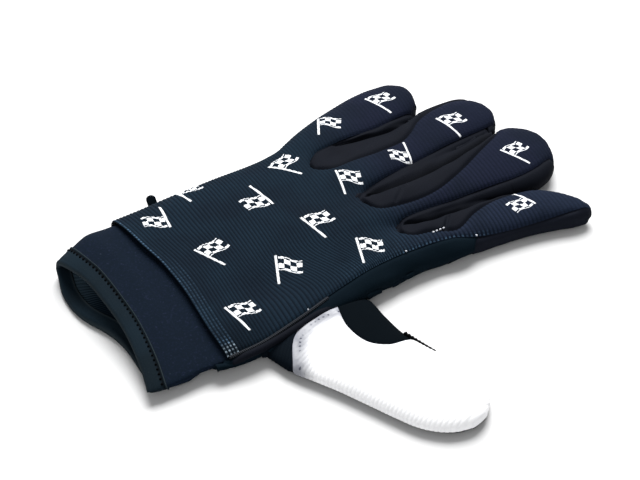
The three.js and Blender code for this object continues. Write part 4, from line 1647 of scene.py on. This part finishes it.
        # Painted highlights on the raised edges and the lip, and a painted shadow line beside the
        # outer raised edge.
        shadow_line = bell(from_end, 0.4, 1.25)
        lip_painted_highlight = 0.75 * np.sin(np.linspace(0, math.pi, 9)) ** 2
        wear_and_painted_light = np.concatenate([edge_ridge - shadow_line, lip_painted_highlight, lining_ridge, [0, 0]])
        self._finish(rings, wear_and_painted_light, "cuff_edge", "cuff_fold", edge_tape())

    def _stitches(self, table):
        """Slanting stitches of black thread beside the tape's raised edge."""
        turn = np.linspace(0.04, 0.94, 900) * math.pi
        close = self._ring(table, FOLD_END - 1.2 / CUFF_LONG, turn)
        wide = self._ring(table, FOLD_END - 2.3 / CUFF_LONG, turn)
        reach = along(close)
        lines = []
        for start in np.linspace(0, reach[-1] - 1.0, round(reach[-1] / 2.35)):
            at = start + np.linspace(0, 0.7, 5)
            share = np.linspace(0, 1, 5)[:, None]
            first, last = (resampled(row, reach, at) for row in (close, wide))
            lines.append(first + (last - first) * share + np.array([0, 0, 0.25]))
        roll(lines, 0.5, "cuff_stitches", sewing_thread(), "neoprene", sides=8, step=0.2)


def neoprene():
    """Dark stretch cloth with fine blue and purple specks, and its hatched lining."""
    board = Board("neoprene", Roughness=0.85, Specular_IOR_Level=0.04)
    place = board.place()
    along_it, around, outside = board.attribute("weave")
    specks = board.noise(place, 1000, 3, 0.65)
    broad = board.noise(place, 60, 2)
    rare = board.noise(place, 700, 1, 0.5)
    flecked = specks.rising(0.45, 0.62) * 0.6
    cloth = board.mix(flecked, glove_colour("neoprene"), lit(26, 38, 59))
    cloth = board.mix(specks.rising(0.6, 0.7) * 0.45, cloth, lit(56, 62, 90))
    cloth = board.mix(rare.rising(0.74, 0.84) * 0.35, cloth, lit(80, 90, 112))
    cloth = board.mix(((broad - 0.45) * 1.5).clamped() * 0.4, cloth, lit(14, 25, 38))
    hatch = ((along_it * 0.8 + around * 0.6) * 8.4).wave()
    far_end = around.rising(174, 210) * 0.95 + 0.05
    lining = board.mix(hatch.rising(0.3, 0.8) * far_end, lit(20, 40, 56), lit(150, 185, 208))
    cloth = board.mix(outside.rising(0.4, 0.6), lining, cloth)
    return board.paint(Base_Color=cloth, Normal=board.bump(specks, 0.1, 0.5))


def edge_tape():
    """Greyish black tape with a fine cross weave, with painted highlights along its raised edges
    and lip and a painted shadow line beside its outer raised edge.
    """
    board = Board("edge_tape", Roughness=0.85, Specular_IOR_Level=0.04)
    place = board.place()
    along_it, around, wear_and_painted_light = board.attribute("weave")
    grain = board.noise(place, 1600, 2, 0.6)
    broad = board.noise(place, 45, 2)
    cross = (around * 9.0).sine() * (along_it * 9.0).sine() * 0.5 + 0.5
    cloth = board.mix(broad.rising(0.3, 0.7) * 0.5, glove_colour("tape"), lit(23, 32, 37))
    cloth = board.mix(cross * 0.35, cloth, lit(17, 23, 28))
    cloth = board.mix(grain.rising(0.55, 0.75) * 0.5, cloth, lit(46, 56, 62))
    # Painted shadow where the number is below zero, painted highlights where it is above.
    cloth = board.mix((wear_and_painted_light * -1).clamped(), cloth, lit(6, 11, 16))
    cloth = board.mix((wear_and_painted_light * 0.8).clamped(), cloth, lit(66, 77, 82))
    height = cross * 0.6 + grain * 0.4
    return board.paint(Base_Color=cloth, Normal=board.bump(height, 0.12, 0.5))


def sewing_thread(name="sewing_thread", low=None, high=None):
    """Thread with its slanting twist, black unless two other colours are given."""
    board = Board(name, Roughness=0.8, Specular_IOR_Level=0.03)
    reach, turn, _ = board.attribute("weave")
    twist = (reach * 9.0 + turn).wave()
    cloth = board.mix(twist, low or glove_colour("thread"), high or lit(9, 13, 17))
    return board.paint(Base_Color=cloth, Normal=board.bump(twist, 0.08, 0.6))


def whole_turn(sides):
    """Angles all the way round, ending exactly where they began."""
    turn = np.linspace(0, 2 * math.pi, sides + 1)
    turn[-1] = 0
    return turn


def roll(lines, radius, name, material, slot, twist=0.0, ridge=0.0, sides=12, step=0.25, thin=0.0):
    """Closed rolls along lines, ending in rounded tips and thinner towards the end by a share."""
    turn = whole_turn(sides)
    sheet = Sheet()
    for line in lines:
        line = finely(line, step)
        ahead = np.gradient(line, axis=0)
        ahead /= np.linalg.norm(ahead, axis=1, keepdims=True)
        side = np.cross(ahead, np.array([0, 0, 1.0]))
        side /= np.maximum(np.linalg.norm(side, axis=1, keepdims=True), 1e-6)
        up = np.cross(side, ahead)
        reach = along(line)
        ends = np.sqrt(np.clip(np.minimum(reach, reach[-1] - reach) / radius, 0, 1))
        ends = ends * (1 - thin * reach / reach[-1])
        ridges_round = 1 + ridge * np.sin(twist * reach[:, None] + 2 * turn[None, :])
        size = radius * (ends[:, None] * ridges_round)
        points = line[:, None] + side[:, None] * (np.cos(turn) * size)[..., None]
        points = points + up[:, None] * (np.sin(turn) * size)[..., None]
        round_it = np.broadcast_to(turn[None, :], size.shape)
        sheet.lay(points, weave=np.stack([filled(reach, size), round_it, np.ones(size.shape)], -1))
    sheet.finish(name, slot, material)


class GLOVE_OT_trim(bpy.types.Operator):
    """The stitched edge and piping on the thumb's side, loose stitches and the tape end"""

    bl_idname = "glove.trim"
    bl_label = "Trim"

    def execute(self, context):
        self._binding()
        self._tacks()
        self._thumb_seam_end()
        self._tape_end()
        return {"FINISHED"}

    def _binding(self):
        """The stitched edge of the knit and the piping below it."""
        radius = glove_size("binding")
        line = NEAR_LINE[(NEAR_LINE[:, 0] > -66.2) & (NEAR_LINE[:, 0] < -14)]
        z = back_height(line[:, 0], line[:, 1])
        fade = eased(-66, -58, line[:, 0]) * (1 - eased(-26, -14, line[:, 0]))
        stitched = np.column_stack([line[:, 0], line[:, 1] - 0.5, z - 0.25])
        roll([stitched], radius * 0.55, "stitched_edge", twill(), "back_knit", 7.6, 0.14)
        outline = HAND.near(line[:, 0])
        y = line[:, 1] - 0.5 + (outline - line[:, 1]) * 0.5
        below = back_height(line[:, 0], y) - 0.5 - 1.4 * (1 - fade)
        piping = np.column_stack([line[:, 0], y, below])
        roll([piping], radius * 1.3, "edge_piping", smooth_fabric(), "smooth_fabric")

    def _tacks(self):
        """Four white tacking stitches at the index finger's root, and three on the near seam."""
        lines = []
        for middle in ROOT_TACKS:
            x = middle + np.array([-0.6, 0, 0.6])
            y = 0.1 * (x - ROOT_TACKS[0]) - 22.2
            lines.append(np.column_stack([x, y, back_height(x, y) + 0.4]))
        for middle in NEAR_TACKS:
            x = middle + np.array([-0.4, 0, 0.4])
            y = near_line_y(x) + np.array([0.5, 0.2, -0.1])
            lines.append(np.column_stack([x, y, back_height(x, y) + 0.5]))
        thread = sewing_thread("white_thread", tone(176, 180, 192), glove_colour("print"))
        roll(lines, 0.36, "tack_stitches", thread, "back_knit", sides=8, step=0.2)

    def _thumb_seam_end(self):
        """The last dark stitches along the thumb's far side, past the gusset's tip."""
        x = np.linspace(*THUMB_STITCHES, 40)
        y = THUMB.far(x) - 1.4
        z = THUMB.top(x, y) + 0.5
        placed_x, placed_y = from_thumb(x, y)
        line = np.column_stack([placed_x, placed_y, z])
        thread = sewing_thread("seam_thread")
        roll([line], 0.75, "thumb_seam_end", thread, "palm_suede", 3.4, 0.3, sides=8, thin=0.7)

    def _tape_end(self):
        """The short end of tape that stands out of the far seam, on the little finger's side."""
        low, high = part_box("seam_tab")
        bm = bmesh.new()
        bmesh.ops.create_cube(bm, size=1)
        sides = (TAPE_END["wide"], TAPE_END["long"], TAPE_END["thick"])
        bmesh.ops.scale(bm, vec=sides, verts=bm.verts)
        self._rounded(bm, lambda rise: rise > 0.5, TAPE_END["corner"], 6)
        self._rounded(bm, lambda rise: rise < 0.1, TAPE_END["rim"], 3)
        tilt = math.radians(TAPE_END["tilt"])
        for vert in bm.verts:
            x, y, z = vert.co
            z += 0.25 * math.sin(y * 1.1)
            y, z = y * math.cos(tilt) - z * math.sin(tilt), y * math.sin(tilt) + z * math.cos(tilt)
            vert.co = Vector((x, y, z)) * MM + (low + high) / 2
        mesh = bpy.data.meshes.new("tape_end")
        bm.to_mesh(mesh)
        bm.free()
        finished_piece(mesh, suede("tab_suede", 0.5), ["seam_tab"])

    def _rounded(self, bm, chosen, radius, segments):
        """Rounds the edges whose rise from end to end is chosen."""
        edges = [e for e in bm.edges if chosen(abs(e.verts[0].co.z - e.verts[1].co.z))]
        bmesh.ops.bevel(
            bm, geom=edges, offset=radius, segments=segments, profile=0.5, affect="EDGES",
            material=-1,
        )


def twill():
    """Brownish black edge covered by slanting overlock stitches."""
    board = Board("twill", Roughness=0.75, Specular_IOR_Level=0.15)
    reach, turn, _ = board.attribute("weave")
    slant = (reach * 7.6 + turn * 2.0).wave()
    cloth = board.mix(slant.rising(0.2, 0.9), lit(8, 11, 16), lit(62, 68, 78))
    return board.paint(Base_Color=cloth, Normal=board.bump(slant, 0.15, 0.6))


class GLOVE_OT_stage(bpy.types.Operator):
    """Pale floor, soft light and the camera"""

    bl_idname = "glove.stage"
    bl_label = "Stage"

    def execute(self, context):
        scene = context.scene
        self._floor(scene)
        self._sky(scene)
        for name, (place, wide, watts) in LIGHTS.items():
            self._soft_light(scene, name, place, wide, watts)
        self._camera(scene)
        scene.view_settings.view_transform = "Standard"
        return {"FINISHED"}

    def _floor(self, scene):
        bm = bmesh.new()
        bmesh.ops.create_grid(bm, x_segments=2, y_segments=2, size=FLOOR_REACH)
        mesh = bpy.data.meshes.new("floor")
        bm.to_mesh(mesh)
        bm.free()
        floor = bpy.data.objects.new("floor", mesh)
        scene.collection.objects.link(floor)
        paper = Board("paper", Base_Color=FLOOR_COLOUR, Roughness=0.9, Specular_IOR_Level=0.03)
        mesh.materials.append(paper.material)

    def _sky(self, scene):
        world = bpy.data.worlds.new("studio")
        world.use_nodes = True
        sky = world.node_tree.nodes["Background"]
        sky.inputs["Color"].default_value = SKY_COLOUR
        sky.inputs["Strength"].default_value = SKY_STRENGTH
        scene.world = world

    def _soft_light(self, scene, name, place, wide, watts):
        lamp = bpy.data.lights.new(name, "AREA")
        lamp.shape = "DISK"
        lamp.size = wide
        lamp.energy = watts
        holder = bpy.data.objects.new(name, lamp)
        scene.collection.objects.link(holder)
        holder.location = place
        self._turn(holder, -Vector(place))

    def _camera(self, scene):
        data = bpy.data.cameras.new("camera")
        data.sensor_fit = "HORIZONTAL"
        data.sensor_width = SENSOR
        data.lens = SENSOR / 2 / math.tan(math.radians(CAMERA["field"]) / 2)
        data.clip_start = 0.05
        data.clip_end = 20
        camera = bpy.data.objects.new("camera", data)
        scene.collection.objects.link(camera)
        azimuth, elevation = math.radians(CAMERA["azimuth"]), math.radians(CAMERA["elevation"])
        back = Vector((
            math.sin(azimuth) * math.cos(elevation),
            -math.cos(azimuth) * math.cos(elevation),
            math.sin(elevation),
        ))
        aim = (Vector((0, 0, CAMERA["aim"])) + Vector(TO_ROW.tolist())) * MM
        camera.location = aim + back * CAMERA["distance"]
        self._turn(camera, -back)
        scene.camera = camera

    def _turn(self, thing, way):
        """Turns a light or the camera so that it looks along a way."""
        thing.rotation_mode = "QUATERNION"
        thing.rotation_quaternion = way.to_track_quat("-Z", "Y")


class GLOVE_PT_panel(bpy.types.Panel):
    """The glove's pieces, in the order they are made"""

    bl_idname = "GLOVE_PT_panel"
    bl_label = "Glove"
    bl_space_type = "VIEW_3D"
    bl_region_type = "UI"
    bl_category = "Glove"

    def draw(self, context):
        for operator in OPERATORS:
            self.layout.operator(operator.bl_idname)


OPERATORS = [
    GLOVE_OT_stage,
    GLOVE_OT_back,
    GLOVE_OT_strips,
    GLOVE_OT_palm,
    GLOVE_OT_thumb,
    GLOVE_OT_cuff,
    GLOVE_OT_trim,
]
CLASSES = [GloveSizes, GloveColours, *OPERATORS, GLOVE_PT_panel]


def register():
    for made in CLASSES:
        bpy.utils.register_class(made)
    bpy.types.Scene.glove_sizes = bpy.props.PointerProperty(type=GloveSizes)
    bpy.types.Scene.glove_colours = bpy.props.PointerProperty(type=GloveColours)


def unregister():
    del bpy.types.Scene.glove_colours
    del bpy.types.Scene.glove_sizes
    for made in reversed(CLASSES):
        bpy.utils.unregister_class(made)


def main():
    register()
    bpy.ops.glove.stage()
    bpy.ops.glove.back()
    bpy.ops.glove.strips()
    bpy.ops.glove.palm()
    bpy.ops.glove.thumb()
    bpy.ops.glove.cuff()
    bpy.ops.glove.trim()


if __name__ == "__main__":
    main()
